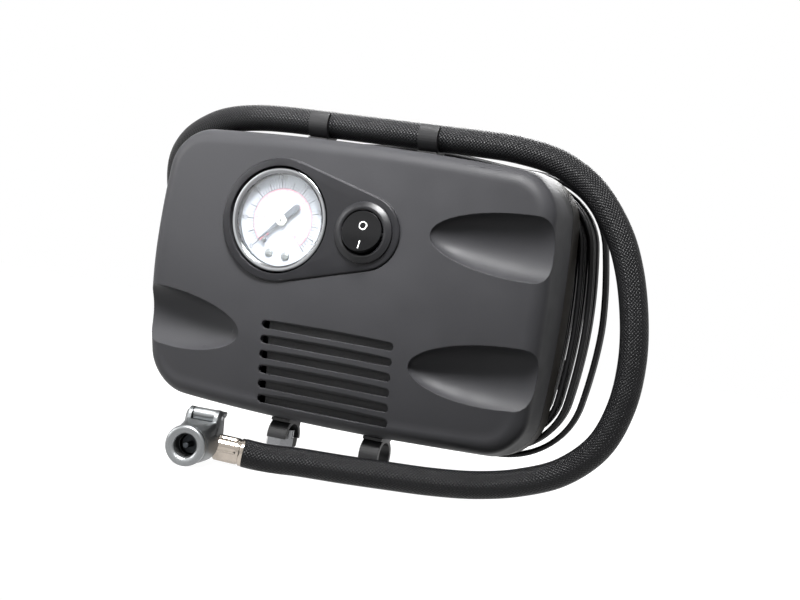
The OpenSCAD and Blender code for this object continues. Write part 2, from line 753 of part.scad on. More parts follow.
module cylinder_head() color([0.64, 0.65, 0.66]) at_piston(0) difference() {
    union() {
        rod([0, 0, head_low], 2, cylinder_low - head_low, 11.8);
        box([-bolt_reach, -3, head_low], [bolt_reach, 3, cylinder_low]);
        for (s = [-1, 1]) rod([s * bolt_reach, 0, head_low], 2, cylinder_low - head_low, 3);
        rod([0, 0, 19.6], 2, 3, 4.6);
        // Spigots for the two tubes
        rod([-cylinder_x + 13, spigot_y, spigot_z], 0, 6, 2.2);
        rod([4, spigot_y, spigot_z], 0, 11, 1.6);
    }
    rod([0, 0, 20.6], 2, 4, 3.2);
    rod([0, 0, 22], 2, 6, 1.5);
    for (s = [-1, 1]) rod([s * bolt_reach, 0, 20], 2, 8, 1);
}

spigot_y = -6.6;
spigot_z = 24.3;

module head_screws() color([0.6, 0.6, 0.62]) for (s = [-1, 1]) at_piston(0) {
    rod([s * bolt_reach, 0, head_low - 1.8], 2, 1.8, 2.1);
    rod([s * bolt_reach, 0, head_low], 2, 27.5, 1);
}

module valve_disc() color([0.15, 0.15, 0.15]) at_piston(valve_z) rod([0, 0, 0], 2, 0.5, 2.9);

spring_turns = 3;

module valve_spring() color([0.75, 0.76, 0.78]) at_piston(0) {
    low = 20.85;
    high = valve_z - 0.3;
    tube([for (i = [0 : 8 * spring_turns]) let(a = 45 * i)
        [2.1 * cos(a), 2.1 * sin(a), lerp(low, high, i / (8 * spring_turns))]], 0.25, 0.25, 6, [0, 0, 1]);
}

// --- Wires and inner tubes ---

wire_r = 0.9;
wire_routes = [
    [[-63.3, 12.4, 38.6], [-62.2, 12.4, 33.8], [-60.2, 11.5, 32.3], [-58.4, 9.5, 34], [-57.8, 7, 40],
        [-56, 2, 48], [-53.5, -3, 52.5], [-52, pump_y, 53], [-49.05, pump_y, 53]],
    [[-63.3, 14.4, 38.6], [-62.3, 14.5, 34], [-60.4, 15, 32.3], [-58.4, 15.5, 35], [-57.8, 15, 44],
        [-57, 13, 56], [-51, 8, 70], [-42, 4, 84], [-28, 3, 92], [-12, 2, 97], [0, 0.5, 98.5],
        [7, 0, 97.8], [switch_x, -1.5, 97], [switch_x, -5.45, 97]],
    [[-49.05, pump_y, 41], [-52, pump_y, 41], [-53.5, -2, 42], [-53, 4, 46], [-50.5, 9, 54],
        [-47, 10, 64], [-37, 7, 82], [-28, 6, 87], [-14, 4, 89], [-2, 2, 88.4], [5, 0.5, 87.6],
        [switch_x, -1, 87], [switch_x, -5.45, 87]]
];

module wiring() color([0.7, 0.1, 0.08]) for (route = wire_routes)
    tube(route, wire_r, wire_r, 6, [0, 0.1, 1]);

gauge_tube_route = [[38, -10.9, 24.3], [42, -10, 25], [45, -5, 28], [45, 2, 34], [40, 12, 43],
    [28, 18, 54], [10, 21, 64], [-10, 21, 73], [-20, 17, 78], [-25, 10, 79.6], [-25.5, 2.2, 79.6]];

module gauge_tube() color([0.85, 0.85, 0.8])
    tube(gauge_tube_route, 2, 2, 8, [0, 0, 1]);

inner_hose_route = [[10, -10.9, 24.3], [2, -10.9, 24.3], [-12, -10.8, 24.3], [-25, -10.6, 24.4],
    [-34, -9, 25], [-40, -4, 28], [-43.5, 3, 32.5], [-43.5, 10, 38], [-46, 17, 43],
    [-53, 22.5, 45], [-58, 25.2, 46.5], [-62, 26, 48]];

module inner_hose() color([0.12, 0.12, 0.12])
    tube(inner_hose_route, 3, 3, 8, [0, 0, 1]);

// --- Air hose and its ends ---

gland_dir = [-sin(gland_lean), 0, cos(gland_lean)];
gland_out = 3;

module hose_gland() color([0.08, 0.08, 0.085]) along_gland(11) difference() {
    cylinder(h = 11 + gland_out, r = gland_r);
    translate([0, 0, -1]) cylinder(h = 40, r = 2.6);
    translate([0, 0, 11 + gland_out - 2]) difference() {
        cylinder(h = 3, r = 8);
        translate([0, 0, -1]) cylinder(h = 5, r1 = gland_r, r2 = gland_r - 0.8);
    }
}

ferrule_from = [-13, -50, 5.4];
ferrule_to = [-23.2, -53.6, 6.1];

air_hose_route = concat([gland_at + gland_out * gland_dir, gland_at + (gland_out + 9) * gland_dir], [
    [-85, 26, 71.5], [-94.5, 26, 86], [-99.6, 23.5, 100], [-97, 16.5, 112], [-88, 8, 120.6],
    [-76, 1.5, 126.6], [-64, -3.4, 129.9], [-50, -6.4, 131.6], [-36, -7, 132.2], [-22, -7, 132.2],
    [0, -7, 132.2], [23.9, -7, 132.2], [42, -7, 132.2], [58.8, -7.5, 131.6], [74.8, -7.5, 128.6],
    [88.7, -7.5, 120.8], [100.1, -7.5, 107.6], [107, -7.5, 93.6], [111.7, -7.5, 76.4],
    [113.6, -7.5, 60], [112.2, -7.5, 43.6], [106.4, -7.5, 28.6], [94.5, -7.5, 17], [79, -8, 10],
    [64, -12, 6.4], [50, -20, 5.3], [36, -29, 5.3], [21, -37, 5.3], [5.5, -43.2, 5.3],
    ferrule_from - 9 * unit(ferrule_to - ferrule_from), ferrule_from]);

module air_hose() color([0.07, 0.07, 0.075]) {
    echo(air_hose_length = path_length(air_hose_route));
    tube(air_hose_route, hose_d / 2, hose_d / 2, 12, [0, 1, 0]);
}

ferrule_l = norm(ferrule_to - ferrule_from);

module hose_ferrule() color([0.83, 0.81, 0.79]) toward(ferrule_from, ferrule_to) difference() {
    union() {
        cylinder(h = ferrule_l, r = 4.8);
        cylinder(h = 1.4, r = 5.1);
    }
    // Crimped flats pressed in round the sleeve
    for (a = [0 : 60 : 300]) rotate([0, 0, a]) translate([5.6, 0, 3]) cylinder(h = 6, r = 1.3, $fn = 16);
    translate([0, 0, -1]) cylinder(h = ferrule_l + 2, r = 2.2);
}

// --- Chuck ---

// The chuck lies turned a little to the right; its own x is 0, and its mouth faces -y
chuck_turn = 11.6;
chuck_z = 7.4;
chuck_r = 6.6;
mouth = -20.4;
hinge = [-27.3, -57, 17];
lever_w = 10.4;

module on_chuck() translate([hinge[0], hinge[1], 0]) rotate([0, 0, chuck_turn]) children();

function on_chuck_axis(y) = [hinge[0] - sin(chuck_turn) * y, hinge[1] + cos(chuck_turn) * y, chuck_z];

module chuck_body() color([0.62, 0.63, 0.63]) difference() {
    union() {
        on_chuck() turned([0, mouth, chuck_z], 1, [[0, 3], [chuck_r, 3], [chuck_r, 22], [chuck_r - 0.6, 25],
            [chuck_r - 2.2, 27.3], [chuck_r - 4, 28.3], [0, 28.5]]);
        toward(ferrule_to, on_chuck_axis(1.5)) cylinder(h = 4.4, r = 5.4);
        on_chuck() {
            for (s = [-1, 1]) hull() {
                rod([s * 6.4 - 0.8, 0, hinge[2]], 0, 1.6, 2.6);
                box([s * 5 - 1.4, -3.5, 8], [s * 5 + 1.4, 3.5, 9]);
            }
            box([-5, -3.5, 8], [5, 3.5, 13.9]);
        }
    }
    on_chuck() {
        rod([0, mouth, chuck_z], 1, 12.5, 3.9);
        rod([0, mouth, chuck_z], 1, 18, 1.4 + fit);
        rod([0, mouth + 17, chuck_z], 1, 8, 3);
        rod([0, mouth, chuck_z], 1, 7, 5.2);
        rod([-10, 0, hinge[2]], 0, 20, 1 + fit);
        box([-lever_w / 2 - 0.3, -5, hinge[2] - 3.3], [lever_w / 2 + 0.3, 5, hinge[2] + 5]);
    }
    toward(ferrule_to, on_chuck_axis(1.5)) translate([0, 0, -1]) cylinder(h = 5, r = 2);
    toward(ferrule_from, ferrule_to) cylinder(h = ferrule_l, r = 4.8 + fit);
}

module chuck_mouth_ring() color([0.66, 0.67, 0.67]) on_chuck() turned([0, mouth, chuck_z], 1, [
    [4.3, 0.3], [4.9, 0], [6.1, 0], [6.7, 0.2], [7.1, 0.7], [7.35, 1.4], [7.35, 2.4], [7.1, 2.8], [6.7, 3],
    [5.15, 3], [5.15, 6.5], [4.7, 6.5], [4.7, 1.8], [3.9, 1.8]]);

module chuck_seal() color([0.05, 0.05, 0.05]) on_chuck() ring([0, mouth + 2, chuck_z], 1, 4.4, 4.65, 3.9);

module chuck_depressor() color([0.72, 0.73, 0.73]) on_chuck() {
    turned([0, mouth, chuck_z], 1, [[0, 1.6], [0.9, 1.7], [1.1, 2.1], [1.1, 8.6], [3.4, 8.6],
        [3.4, 10.2], [1.4, 10.2], [1.4, 16], [0, 16]]);
}

module chuck_lever() color([0.6, 0.61, 0.61]) on_chuck() translate([0, 0, hinge[2]]) difference() {
    union() {
        rod([-lever_w / 2, 0, 0], 0, lever_w, 2.8);
        translate([-lever_w / 2, 0, 0]) rotate([90, 0, 90]) linear_extrude(height = lever_w) polygon([
            [0, 2.8], [0, -0.6], [3.5, -1.4], [11, 0.2], [18.5, 1], [21, 2.6], [20.6, 3.7], [17.5, 3],
            [10, 2.4], [5, 2.4]]);
    }
    rod([-20, 0, 0], 0, 40, 1 + fit);
    for (s = [-1, 1]) translate([s * (lever_w / 2 + 2.6), 11.5, -5]) cylinder(h = 20, r = 4.2);
}

module chuck_lever_pin() color([0.7, 0.71, 0.72]) on_chuck() {
    rod([-7.2, 0, hinge[2]], 0, 14.4, 1);
    for (s = [-1, 1]) rod([s * 7.6 - 0.4, 0, hinge[2]], 0, 0.8, 1.7);
}

// --- Nozzle adapter in the bottom left clip ---

module nozzle_adapter() color([0.72, 0.72, 0.7]) difference() {
    union() {
        turned([clip_x[0][0] - 1.3, clip_y, 0], 2, [[0, 0], [4.3, 0], [4.9, 0.5], [4.9, 3.6], [0, 3.6]]);
        translate([clip_x[0][0] - 1.3, clip_y, 3.4]) cylinder(h = 5.2, r = 5.75, $fn = 6);
        rod([clip_x[0][0], clip_y, 8.4], 2, 3.4, 4);
    }
    rod([clip_x[0][0] - 0.6, clip_y, -1], 2, 20, 1.5);
}

// --- Lead on the drum ---

drum_corner = [drum_w / 2 - drum_r, drum_h / 2 - drum_r];
lead_y = [13.4, 18.4];
lead_from = 4.28;
lead_gap = 1.9;
lead_stations = 24;
relief_l = 22;

// Distance of the lead's middle from the drum's wall after a number of turns
function lead_offset(t) = lead_gap + lead_pitch * min(t, lead_turns - t) - 4.6 * (1 - ease(t / 0.05))
    + 1.6 * max(0, 1 - abs(t - lead_turns / 2) / 0.3);

// Slack bulge of a turn on the right side
function lead_slack(t) = let(x = min(t, lead_turns - t)) 4 + 1.6 * x + 6 * max(0, x - 2.6);

// A point of the lead: eight stretches to a turn, straight sides and corners in turn
function lead_point(t) = let(
    s = lead_from + 8 * t, k = floor(s) % 8, f = s - floor(s), r = drum_r + lead_offset(t),
    x = drum_corner[0], z = drum_corner[1],
    y = lerp(lead_y[0], lead_y[1], ease(2.5 * (t - lead_turns / 2) + 0.5)),
    at = k == 0 ? [x + r + lead_slack(t) * sin(180 * f), lerp(z, -z, f)] :
        k == 2 ? [lerp(x, -x, f), -z - r] :
        k == 4 ? [-x - r, lerp(-z, z, f)] :
        k == 6 ? [lerp(-x, x, f), z + r] :
        [k == 1 || k == 7 ? x : -x, k < 4 ? -z : z]
            + r * (let(a = (k == 1 ? 0 : k == 3 ? 270 : k == 5 ? 180 : 90) - 90 * f) [cos(a), sin(a)])
) [at[0], y, body_mid_z + at[1]];

lead_rings = round(lead_turns * lead_stations);
lead_points = [for (i = [0 : lead_rings]) lead_point(lead_turns * i / lead_rings)];
lead_start = lead_points[0];
lead_dir = unit(lead_points[1] - lead_points[0]);
lead_end = lead_points[lead_rings];

// The least gap of the winding to itself, between points at least three quarters of a turn apart
function lead_self_gap() = min([for (i = [0 : 3 : lead_rings], j = [i + 18 : lead_rings])
    let(v = lead_points[j] - lead_points[i])
        if (norm(v) < 12) max(abs(v[1]) - lead_w, norm([v[0], v[2]]) - lead_t)]);

module power_lead() color([0.06, 0.06, 0.065]) {
    echo(power_lead_length = path_length(lead_points), least_self_gap = lead_self_gap());
    tube(lead_points, lead_w / 2, lead_t / 2, 6, [0, 1, 0]);
}

plug_x = [-44, 18];

module power_lead_tail() color([0.06, 0.06, 0.065]) tube(smooth([lead_end, lead_end + [0, 0.15, 4],
    [-71.4, 19.6, 92], [-67.5, 21, 95.6], [-61, 21.9, 96.6], [-54, plug_y, plug_z],
    [plug_x[0], plug_y, plug_z]], 2), lead_w / 2, lead_t / 2, 8, [0, 1, 0]);

module lead_strain_relief() color([0.08, 0.08, 0.085]) toward(lead_start, lead_start - lead_dir) {
    difference() {
        union() {
            cylinder(h = relief_l, r1 = 2.7, r2 = 3.6);
            for (i = [1 : 4]) translate([0, 0, 3.6 * i]) cylinder(h = 1.6, r = 2.9 + 0.25 * i);
            translate([0, 0, relief_l - 2]) cylinder(h = 2, r = 4);
        }
        translate([0, 0, relief_l - 5]) cylinder(h = 8, r = 2.2);
    }
}

// --- Vehicle plug parked in the trough ---

plug_r = 10.3;

module plug_body() color([0.07, 0.07, 0.075]) difference() {
    union() {
        turned([plug_x[0], plug_y, plug_z], 0, [[0, 0], [3.4, 0], [4, 1.5], [4.6, 10], [7.5, 15], [9.6, 20],
            [plug_r, 24], [plug_r, 34], [9.4, 37], [9.2, 62], [0, 62]]);
        for (i = [0 : 3]) rod([plug_x[0] + 2 + 2.4 * i, plug_y, plug_z], 0, 1.2, 4.7 + 0.1 * i);
    }
    rod([plug_x[0] + 26, plug_y, plug_z], 0, 60, 4.2);
    rod([plug_x[1] - 5, plug_y, plug_z], 0, 6, 7);
    // Pockets of the side contacts
    for (s = [-1, 1]) box([plug_x[0] + 40, plug_y - 2.4, plug_z + s * 7.5 - 2.5],
        [plug_x[0] + 56, plug_y + 2.4, plug_z + s * 7.5 + 2.5]);
}

module plug_nose_ring() color([0.1, 0.1, 0.105]) turned([plug_x[1], plug_y, plug_z], 0, [
    [3.2, 6], [3.2, 3], [6.2, 3], [6.2, -4.8], [6.95, -4.8], [6.95, 0], [9.2, 0], [9, 3], [6.6, 6]]);

module plug_tip() color([0.78, 0.79, 0.8]) turned([plug_x[1], plug_y, plug_z], 0, [
    [0, 0], [4.6, 0], [4.6, 2.7], [2.9, 2.7], [2.9, 9.5], [2.2, 11.4], [0.8, 12.2], [0, 12.3]]);

module plug_tip_spring() color([0.75, 0.76, 0.78]) translate([plug_x[1] - 7.5, plug_y, plug_z])
    tube([for (i = [0 : 24]) let(a = 45 * i) [7.2 * i / 24, 3.4 * cos(a), 3.4 * sin(a)]],
        0.35, 0.35, 6, [1, 0, 0]);

module plug_side_contacts() color([0.78, 0.79, 0.8]) for (s = [-1, 1])
    translate([plug_x[0] + 40.5, plug_y - 2.1, plug_z]) rotate([-90, 0, 0]) linear_extrude(height = 4.2)
        polygon([for (q = [[0, 5.6], [4, 9.4], [9, 10.6], [13, 9.6], [15, 7.4], [15, 6.6], [12.6, 8.8],
            [9, 9.8], [4.4, 8.6], [1.4, 5.2]]) [q[0], s * q[1]]]);

module plug_fuse() color([0.8, 0.8, 0.78]) translate([plug_x[0] + 27, plug_y, plug_z]) {
    rod([0, 0, 0], 0, 6, 3.2);
    rod([6, 0, 0], 0, 14, 2.9);
    rod([20, 0, 0], 0, 6, 3.2);
}

front_housing();
rear_housing();
housing_screws();
hose_clip_top_left();
hose_clip_top_right();
hose_clip_bottom_left();
hose_clip_bottom_right();
gauge_case();
gauge_lens();
gauge_dial();
gauge_dial_screws();
gauge_needle();
gauge_sector();
gauge_movement();
bourdon_tube();
gauge_socket();
switch_body();
switch_rocker();
switch_terminals();
motor_can();
motor_end_cap();
motor_magnets();
motor_rotor();
motor_pinion();
motor_screws();
pump_frame();
crank_bushes();
crank_gear();
crank_shaft();
connecting_rod();
wrist_pin();
piston();
piston_seal();
pump_cylinder();
cylinder_head();
head_screws();
valve_disc();
valve_spring();
wiring();
gauge_tube();
inner_hose();
hose_gland();
air_hose();
hose_ferrule();
chuck_body();
chuck_mouth_ring();
chuck_seal();
chuck_depressor();
chuck_lever();
chuck_lever_pin();
nozzle_adapter();
lead_strain_relief();
power_lead();
power_lead_tail();
plug_body();
plug_nose_ring();
plug_tip();
plug_tip_spring();
plug_side_contacts();
plug_fuse();
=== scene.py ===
"""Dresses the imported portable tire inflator: shells, hose, lead, gauge, switch, chuck, plug and finishes.

Lengths are written in millimetres, as in the part's source, and turned to metres where a mesh is made.
"""

from math import atan2, cos, exp, pi, radians, sin, sqrt

import bmesh
import bpy
from bpy.props import FloatProperty, IntProperty, PointerProperty, StringProperty
from mathutils import Matrix, Quaternion, Vector


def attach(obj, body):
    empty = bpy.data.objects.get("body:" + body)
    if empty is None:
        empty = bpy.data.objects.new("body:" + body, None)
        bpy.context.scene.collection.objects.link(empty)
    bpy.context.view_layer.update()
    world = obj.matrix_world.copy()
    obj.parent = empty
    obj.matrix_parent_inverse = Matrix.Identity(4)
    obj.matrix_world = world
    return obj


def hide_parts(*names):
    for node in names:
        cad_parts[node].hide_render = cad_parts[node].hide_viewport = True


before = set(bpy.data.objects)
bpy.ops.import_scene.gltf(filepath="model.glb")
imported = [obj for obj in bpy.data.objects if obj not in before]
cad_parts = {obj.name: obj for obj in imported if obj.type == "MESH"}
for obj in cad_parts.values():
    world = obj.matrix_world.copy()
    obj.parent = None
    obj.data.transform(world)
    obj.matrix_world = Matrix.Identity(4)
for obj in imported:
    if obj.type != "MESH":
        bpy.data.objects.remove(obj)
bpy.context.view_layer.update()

bl_info = {
    "name": "Portable tire inflator",
    "version": (1, 0, 0),
    "blender": (4, 5, 0),
    "location": "View3D > Sidebar > Inflator",
    "description": "Shells, hose, lead and finishes for the packed model of a tire inflator",
    "category": "Object",
}

MM = 0.001
ROOT = "housing"

# Driving sizes of the housing, as in the part's source
BODY_W, BODY_H, BODY_Z, CORNER_R, WALL = 166, 111.5, 15, 17, 2.4
BODY_MID_Z = BODY_Z + BODY_H / 2
BOW_X, BOW_Z = 3, 2.4
PAD_DEPTH, BAND_DEPTH, DRUM_DEPTH, LEDGE = 28, 10.5, 32.5, 13
EDGE_R, DRAFT, SEAM_GAP = 6.5, 1.2, 0.3
GAUGE_X, SWITCH_X, CONTROL_Z = -25.5, 10.5, 92
GAUGE_D, SWITCH_D = 40, 23.2
PUMP_Y, MOTOR_Z, MOTOR_R = -4.3, 47, 14
HOSE_D = 10.4
CLIP_X, CLIP_Y = ((-18.5, -22), (20.7, 23.9)), -7
TOP_HOSE_Z = BODY_Z + BODY_H + 5.7
BOTTOM_HOSE_Z = BODY_Z - 6
SCREW_PLACES = ((-52, 34.5, 1.5), (62, 34.5, 3.6), (-62, 76, 1.5), (62, 106, 5.7))
DRUM_W, DRUM_H, DRUM_R = BODY_W - 2 * LEDGE, BODY_H - 2 * LEDGE, 12
DRUM_LOW, DRUM_HIGH = BODY_MID_Z - DRUM_H / 2, BODY_MID_Z + DRUM_H / 2
PLUG_Y, PLUG_Z, PLUG_X = 22, 96.6, (-44, 18)


# --- Points and places ---

def circle(radius, sides):
    return [(radius * cos(a), radius * sin(a)) for a in (2 * pi * k / sides for k in range(sides))]


def turns(step, first, last):
    """Angles that go up by a step in degrees."""
    return [radians(step * k) for k in range(first, last + 1)]


def half_circle(radius, rows):
    """The profile of a ball, as radii and distances along its axis."""
    return [(radius * sin(pi * k / rows), -radius * cos(pi * k / rows)) for k in range(rows + 1)]


def on_axis(at, axis, x, y, along):
    """A point given across and along an axis: 0 is X, 1 is Y and 2 is Z."""
    return Vector(at) + Vector(((along, x, y), (x, along, y), (x, y, along))[axis])


def discs(places, axis, length, sides):
    """Points round the two ends of some rods, each given as a place and a radius."""
    return [on_axis(at, axis, x, y, along) for at, radius in places
            for x, y in circle(radius, sides) for along in (0, length)]


def ease(t):
    t = min(1, max(0, t))
    return t * t * (3 - 2 * t)


def lerp(a, b, t):
    return a + (b - a) * t


def move(at):
    """The matrix that takes a piece made over the origin to a place."""
    return Matrix.Translation(Vector(at) * MM)


def point(at, ahead):
    """The matrix that takes a piece made along Z to a place and points it ahead."""
    return move(at) @ ahead.to_track_quat("Z", "Y").to_matrix().to_4x4()


# --- Objects and meshes ---

def stand(name, data):
    """Puts a mesh, a light, a camera or figures into the scene as an object."""
    made = bpy.data.objects.new(name, data)
    bpy.context.collection.objects.link(made)
    return made


def build(name, points, faces):
    """A mesh object from points in millimetres, with its faces turned outwards."""
    mesh = bpy.data.meshes.new(name)
    mesh.from_pydata([Vector(p) * MM for p in points], [], faces)
    work = bmesh.new()
    work.from_mesh(mesh)
    bmesh.ops.recalc_face_normals(work, faces=work.faces)
    work.to_mesh(mesh)
    work.free()
    return stand(name, mesh)


def walls(rings, count):
    """The faces between rings that have the same number of points."""
    faces = []
    for i in range(rings - 1):
        here, there = i * count, (i + 1) * count
        for k in range(count):
            after = (k + 1) % count
            faces.append((here + k, here + after, there + after, there + k))
    return faces


def skin(name, rings, closing=None):
    """A closed skin over rings of points. closing gives the last ring's own faces."""
    count = len(rings[0])
    start = (len(rings) - 1) * count
    faces = walls(len(rings), count) + [tuple(range(count))]
    faces += [tuple(start + k for k in face) for face in closing or [range(count)]]
    return build(name, [p for ring in rings for p in ring], faces)


def turned(name, at, axis, profile, sides=96):
    """A turned piece from its closed profile of radii and distances along the axis."""
    points, faces, rows = [], [], []
    for radius, along in profile:
        if radius < 1e-6:
            rows.append([len(points)] * sides)
            points.append(on_axis(at, axis, 0, 0, along))
        else:
            rows.append(list(range(len(points), len(points) + sides)))
            points += [on_axis(at, axis, x, y, along) for x, y in circle(radius, sides)]
    closed = all(radius > 1e-6 for radius, _ in profile)
    for i in range(len(rows) if closed else len(rows) - 1):
        here, there = rows[i], rows[(i + 1) % len(rows)]
        for k in range(sides):
            corners = [here[k], here[(k + 1) % sides], there[(k + 1) % sides], there[k]]
            face = [c for n, c in enumerate(corners) if c != corners[n - 1]]
            if len(face) > 2:
                faces.append(face)
    return build(name, points, faces)


def rod(name, at, axis, length, radius, sides=64):
    return skin(name, [[on_axis(at, axis, x, y, along) for x, y in circle(radius, sides)]
                       for along in (0, length)])


def hull(name, points):
    """The convex solid round a set of points."""
    made = build(name, points, [])
    work = bmesh.new()
    work.from_mesh(made.data)
    result = bmesh.ops.convex_hull(work, input=work.verts)
    loose = {v for v in result["geom_interior"] if isinstance(v, bmesh.types.BMVert)}
    bmesh.ops.delete(work, geom=list(loose), context="VERTS")
    bmesh.ops.dissolve_limit(work, angle_limit=radians(0.2), verts=work.verts, edges=work.edges)
    bmesh.ops.recalc_face_normals(work, faces=work.faces)
    work.to_mesh(made.data)
    work.free()
    return made


def block(name, low, high):
    return hull(name, [(x, y, z) for x in (low[0], high[0]) for y in (low[1], high[1])
                       for z in (low[2], high[2])])


def settle(piece):
    """Applies the modifiers of a piece to its mesh."""
    bpy.context.view_layer.update()
    shown = piece.evaluated_get(bpy.context.evaluated_depsgraph_get())
    mesh = bpy.data.meshes.new_from_object(shown)
    old, piece.data = piece.data, mesh
    piece.modifiers.clear()
    bpy.data.meshes.remove(old)


def drop(piece):
    mesh = piece.data
    bpy.data.objects.remove(piece)
    bpy.data.meshes.remove(mesh)


def carve(base, *steps):
    """Joins and cuts a mesh with other meshes, which are used up. A step is an operation and its tools."""
    for operation, tools in steps:
        for tool in tools:
            change = base.modifiers.new(operation, "BOOLEAN")
            change.operation = operation
            change.object = tool
            change.solver = "MANIFOLD"
    settle(base)
    for _, tools in steps:
        for tool in tools:
            drop(tool)
    return base


def gather(name, pieces):
    """Joins some mesh objects into one."""
    work = bmesh.new()
    for piece in pieces:
        work.from_mesh(piece.data)
    made = build(name, [], [])
    work.to_mesh(made.data)
    work.free()
    for piece in pieces:
        drop(piece)
    return made


def dress(piece, finish, body=ROOT, replaces=(), crease=32):
    """Gives a piece its finish and smooth shading, and says what carries it and what it replaces."""
    piece.data.materials.clear()
    piece.data.materials.append(finish_of(finish))
    piece.data.shade_smooth()
    piece.data.set_sharp_from_angle(angle=radians(crease))
    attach(piece, body)
    if replaces:
        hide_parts(*replaces)
    return piece


def finish_nodes(**groups):
    """Gives CAD nodes their finish: each finish comes with the names of its nodes."""
    for finish, names in groups.items():
        for name in names:
            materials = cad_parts[name].data.materials
            materials.clear()
            materials.append(finish_of(finish))


# --- Paths and tubes ---

def smooth_path(points, steps):
    """A curve through the points, with even steps between each pair."""
    points = [Vector(p) for p in points]
    last = len(points) - 1
    path = []
    for i in range(last):
        a, b, c, d = points[max(i - 1, 0)], points[i], points[i + 1], points[min(i + 2, last)]
        for k in range(steps):
            t = k / steps
            path.append(0.5 * (2 * b + (c - a) * t + (2 * a - 5 * b + 4 * c - d) * t * t
                               + (3 * b - a - 3 * c + d) * t * t * t))
    return path + [points[last]]


def tube(name, path, section):
    """A tube with a section carried along a path. Its map gives distances round and along it, in metres."""
    path = [Vector(p) for p in path]
    across = Vector((0, 1, 0))
    points, along = [], [0.0]
    for i, p in enumerate(path):
        ahead = (path[min(i + 1, len(path) - 1)] - path[max(i - 1, 0)]).normalized()
        across = (across - across.dot(ahead) * ahead).normalized()
        up = ahead.cross(across)
        points += [p + x * across + y * up for x, y in section]
        if i:
            along.append(along[-1] + (p - path[i - 1]).length)
    count = len(section)
    around = [0.0]
    for k in range(count):
        around.append(around[-1] + (Vector(section[(k + 1) % count]) - Vector(section[k])).length)
    sides = walls(len(path), count)
    ends = [tuple(range(count)), tuple(range((len(path) - 1) * count, len(path) * count))]
    mesh = bpy.data.meshes.new(name)
    mesh.from_pydata([p * MM for p in points], [], sides + ends)
    grid = mesh.uv_layers.new(name="along").data
    for f in range(len(sides)):
        i, k = divmod(f, count)
        corners = ((k, i), (k + 1, i), (k + 1, i + 1), (k, i + 1))
        for loop, (u, v) in zip(mesh.polygons[f].loop_indices, corners):
            grid[loop].uv = (around[u] * MM, along[v] * MM)
    return stand(name, mesh)


# --- Materials ---

def linear(colour):
    """Linear colour from an sRGB hex value."""
    parts = [int(colour[i:i + 2], 16) / 255 for i in (1, 3, 5)]
    return tuple(c / 12.92 if c <= 0.04045 else ((c + 0.055) / 1.055) ** 2.4 for c in parts) + (1.0,)


def node(tree, kind, feeds=None, **settings):
    """Adds one shader node with its settings, and the values or links that feed its sockets."""
    made = tree.nodes.new("ShaderNode" + kind)
    for name, value in settings.items():
        setattr(made, name, value)
    for name, value in (feeds or {}).items():
        if isinstance(value, bpy.types.NodeSocket):
            tree.links.new(value, made.inputs[name])
        else:
            made.inputs[name].default_value = value
    return made


def surface(name, colour, roughness, metallic=0, **values):
    """A material with its shader's even values, its node tree and its shader."""
    material = bpy.data.materials.new(name)
    material.use_nodes = True
    tree = material.node_tree
    shader = tree.nodes["Principled BSDF"]
    shader.inputs["Base Color"].default_value = linear(colour)
    shader.inputs["Roughness"].default_value = roughness
    shader.inputs["Metallic"].default_value = metallic
    for key, value in values.items():
        shader.inputs[key.replace("_", " ").title().replace("Ior", "IOR")].default_value = value
    return material, tree, shader


def grained(name, colour, roughness, metallic, grain, depth, mottle, edge, spread=0.06, stretch=(1, 1, 1),
            **values):
    """A finish with a fine relief, and with uneven colour and gloss.

    grain and depth are the relief's size and depth, and edge is the radius to which the light sees sharp
    edges rounded, all in millimetres. mottle and spread are how far colour and roughness vary.
    """
    material, tree, shader = surface(name, colour, roughness, metallic, **values)
    place = node(tree, "TexCoord").outputs["Object"]
    place = node(tree, "Mapping", {"Vector": place, "Scale": stretch}).outputs["Vector"]
    fine, broad = [node(tree, "TexNoise", {"Vector": place, "Scale": 1 / (size * grain * MM),
                                           "Detail": detail}).outputs["Fac"]
                   for size, detail in ((1, 3), (24, 2))]
    base = linear(colour)
    dark, light = [[c * share for c in base[:3]] + [1] for share in (1 - mottle, 1 + mottle)]
    blend = node(tree, "Math", {0: fine, 1: broad}, operation="ADD").outputs[0]
    blend = node(tree, "MapRange", {"Value": blend, "From Min": 0.6, "From Max": 1.4}).outputs[0]
    mixed = node(tree, "Mix", {0: blend, 6: dark, 7: light}, data_type="RGBA")
    tree.links.new(mixed.outputs[2], shader.inputs["Base Color"])
    rough = node(tree, "MapRange", {"Value": broad, "From Min": 0.3, "From Max": 0.7,
                                    "To Min": roughness - spread, "To Max": roughness + spread})
    tree.links.new(rough.outputs[0], shader.inputs["Roughness"])
    rounded = node(tree, "Bevel", {"Radius": edge * MM}, samples=4).outputs["Normal"]
    relief = node(tree, "Bump", {"Height": fine, "Distance": depth * MM, "Strength": 1, "Normal": rounded})
    tree.links.new(relief.outputs["Normal"], shader.inputs["Normal"])
    return material


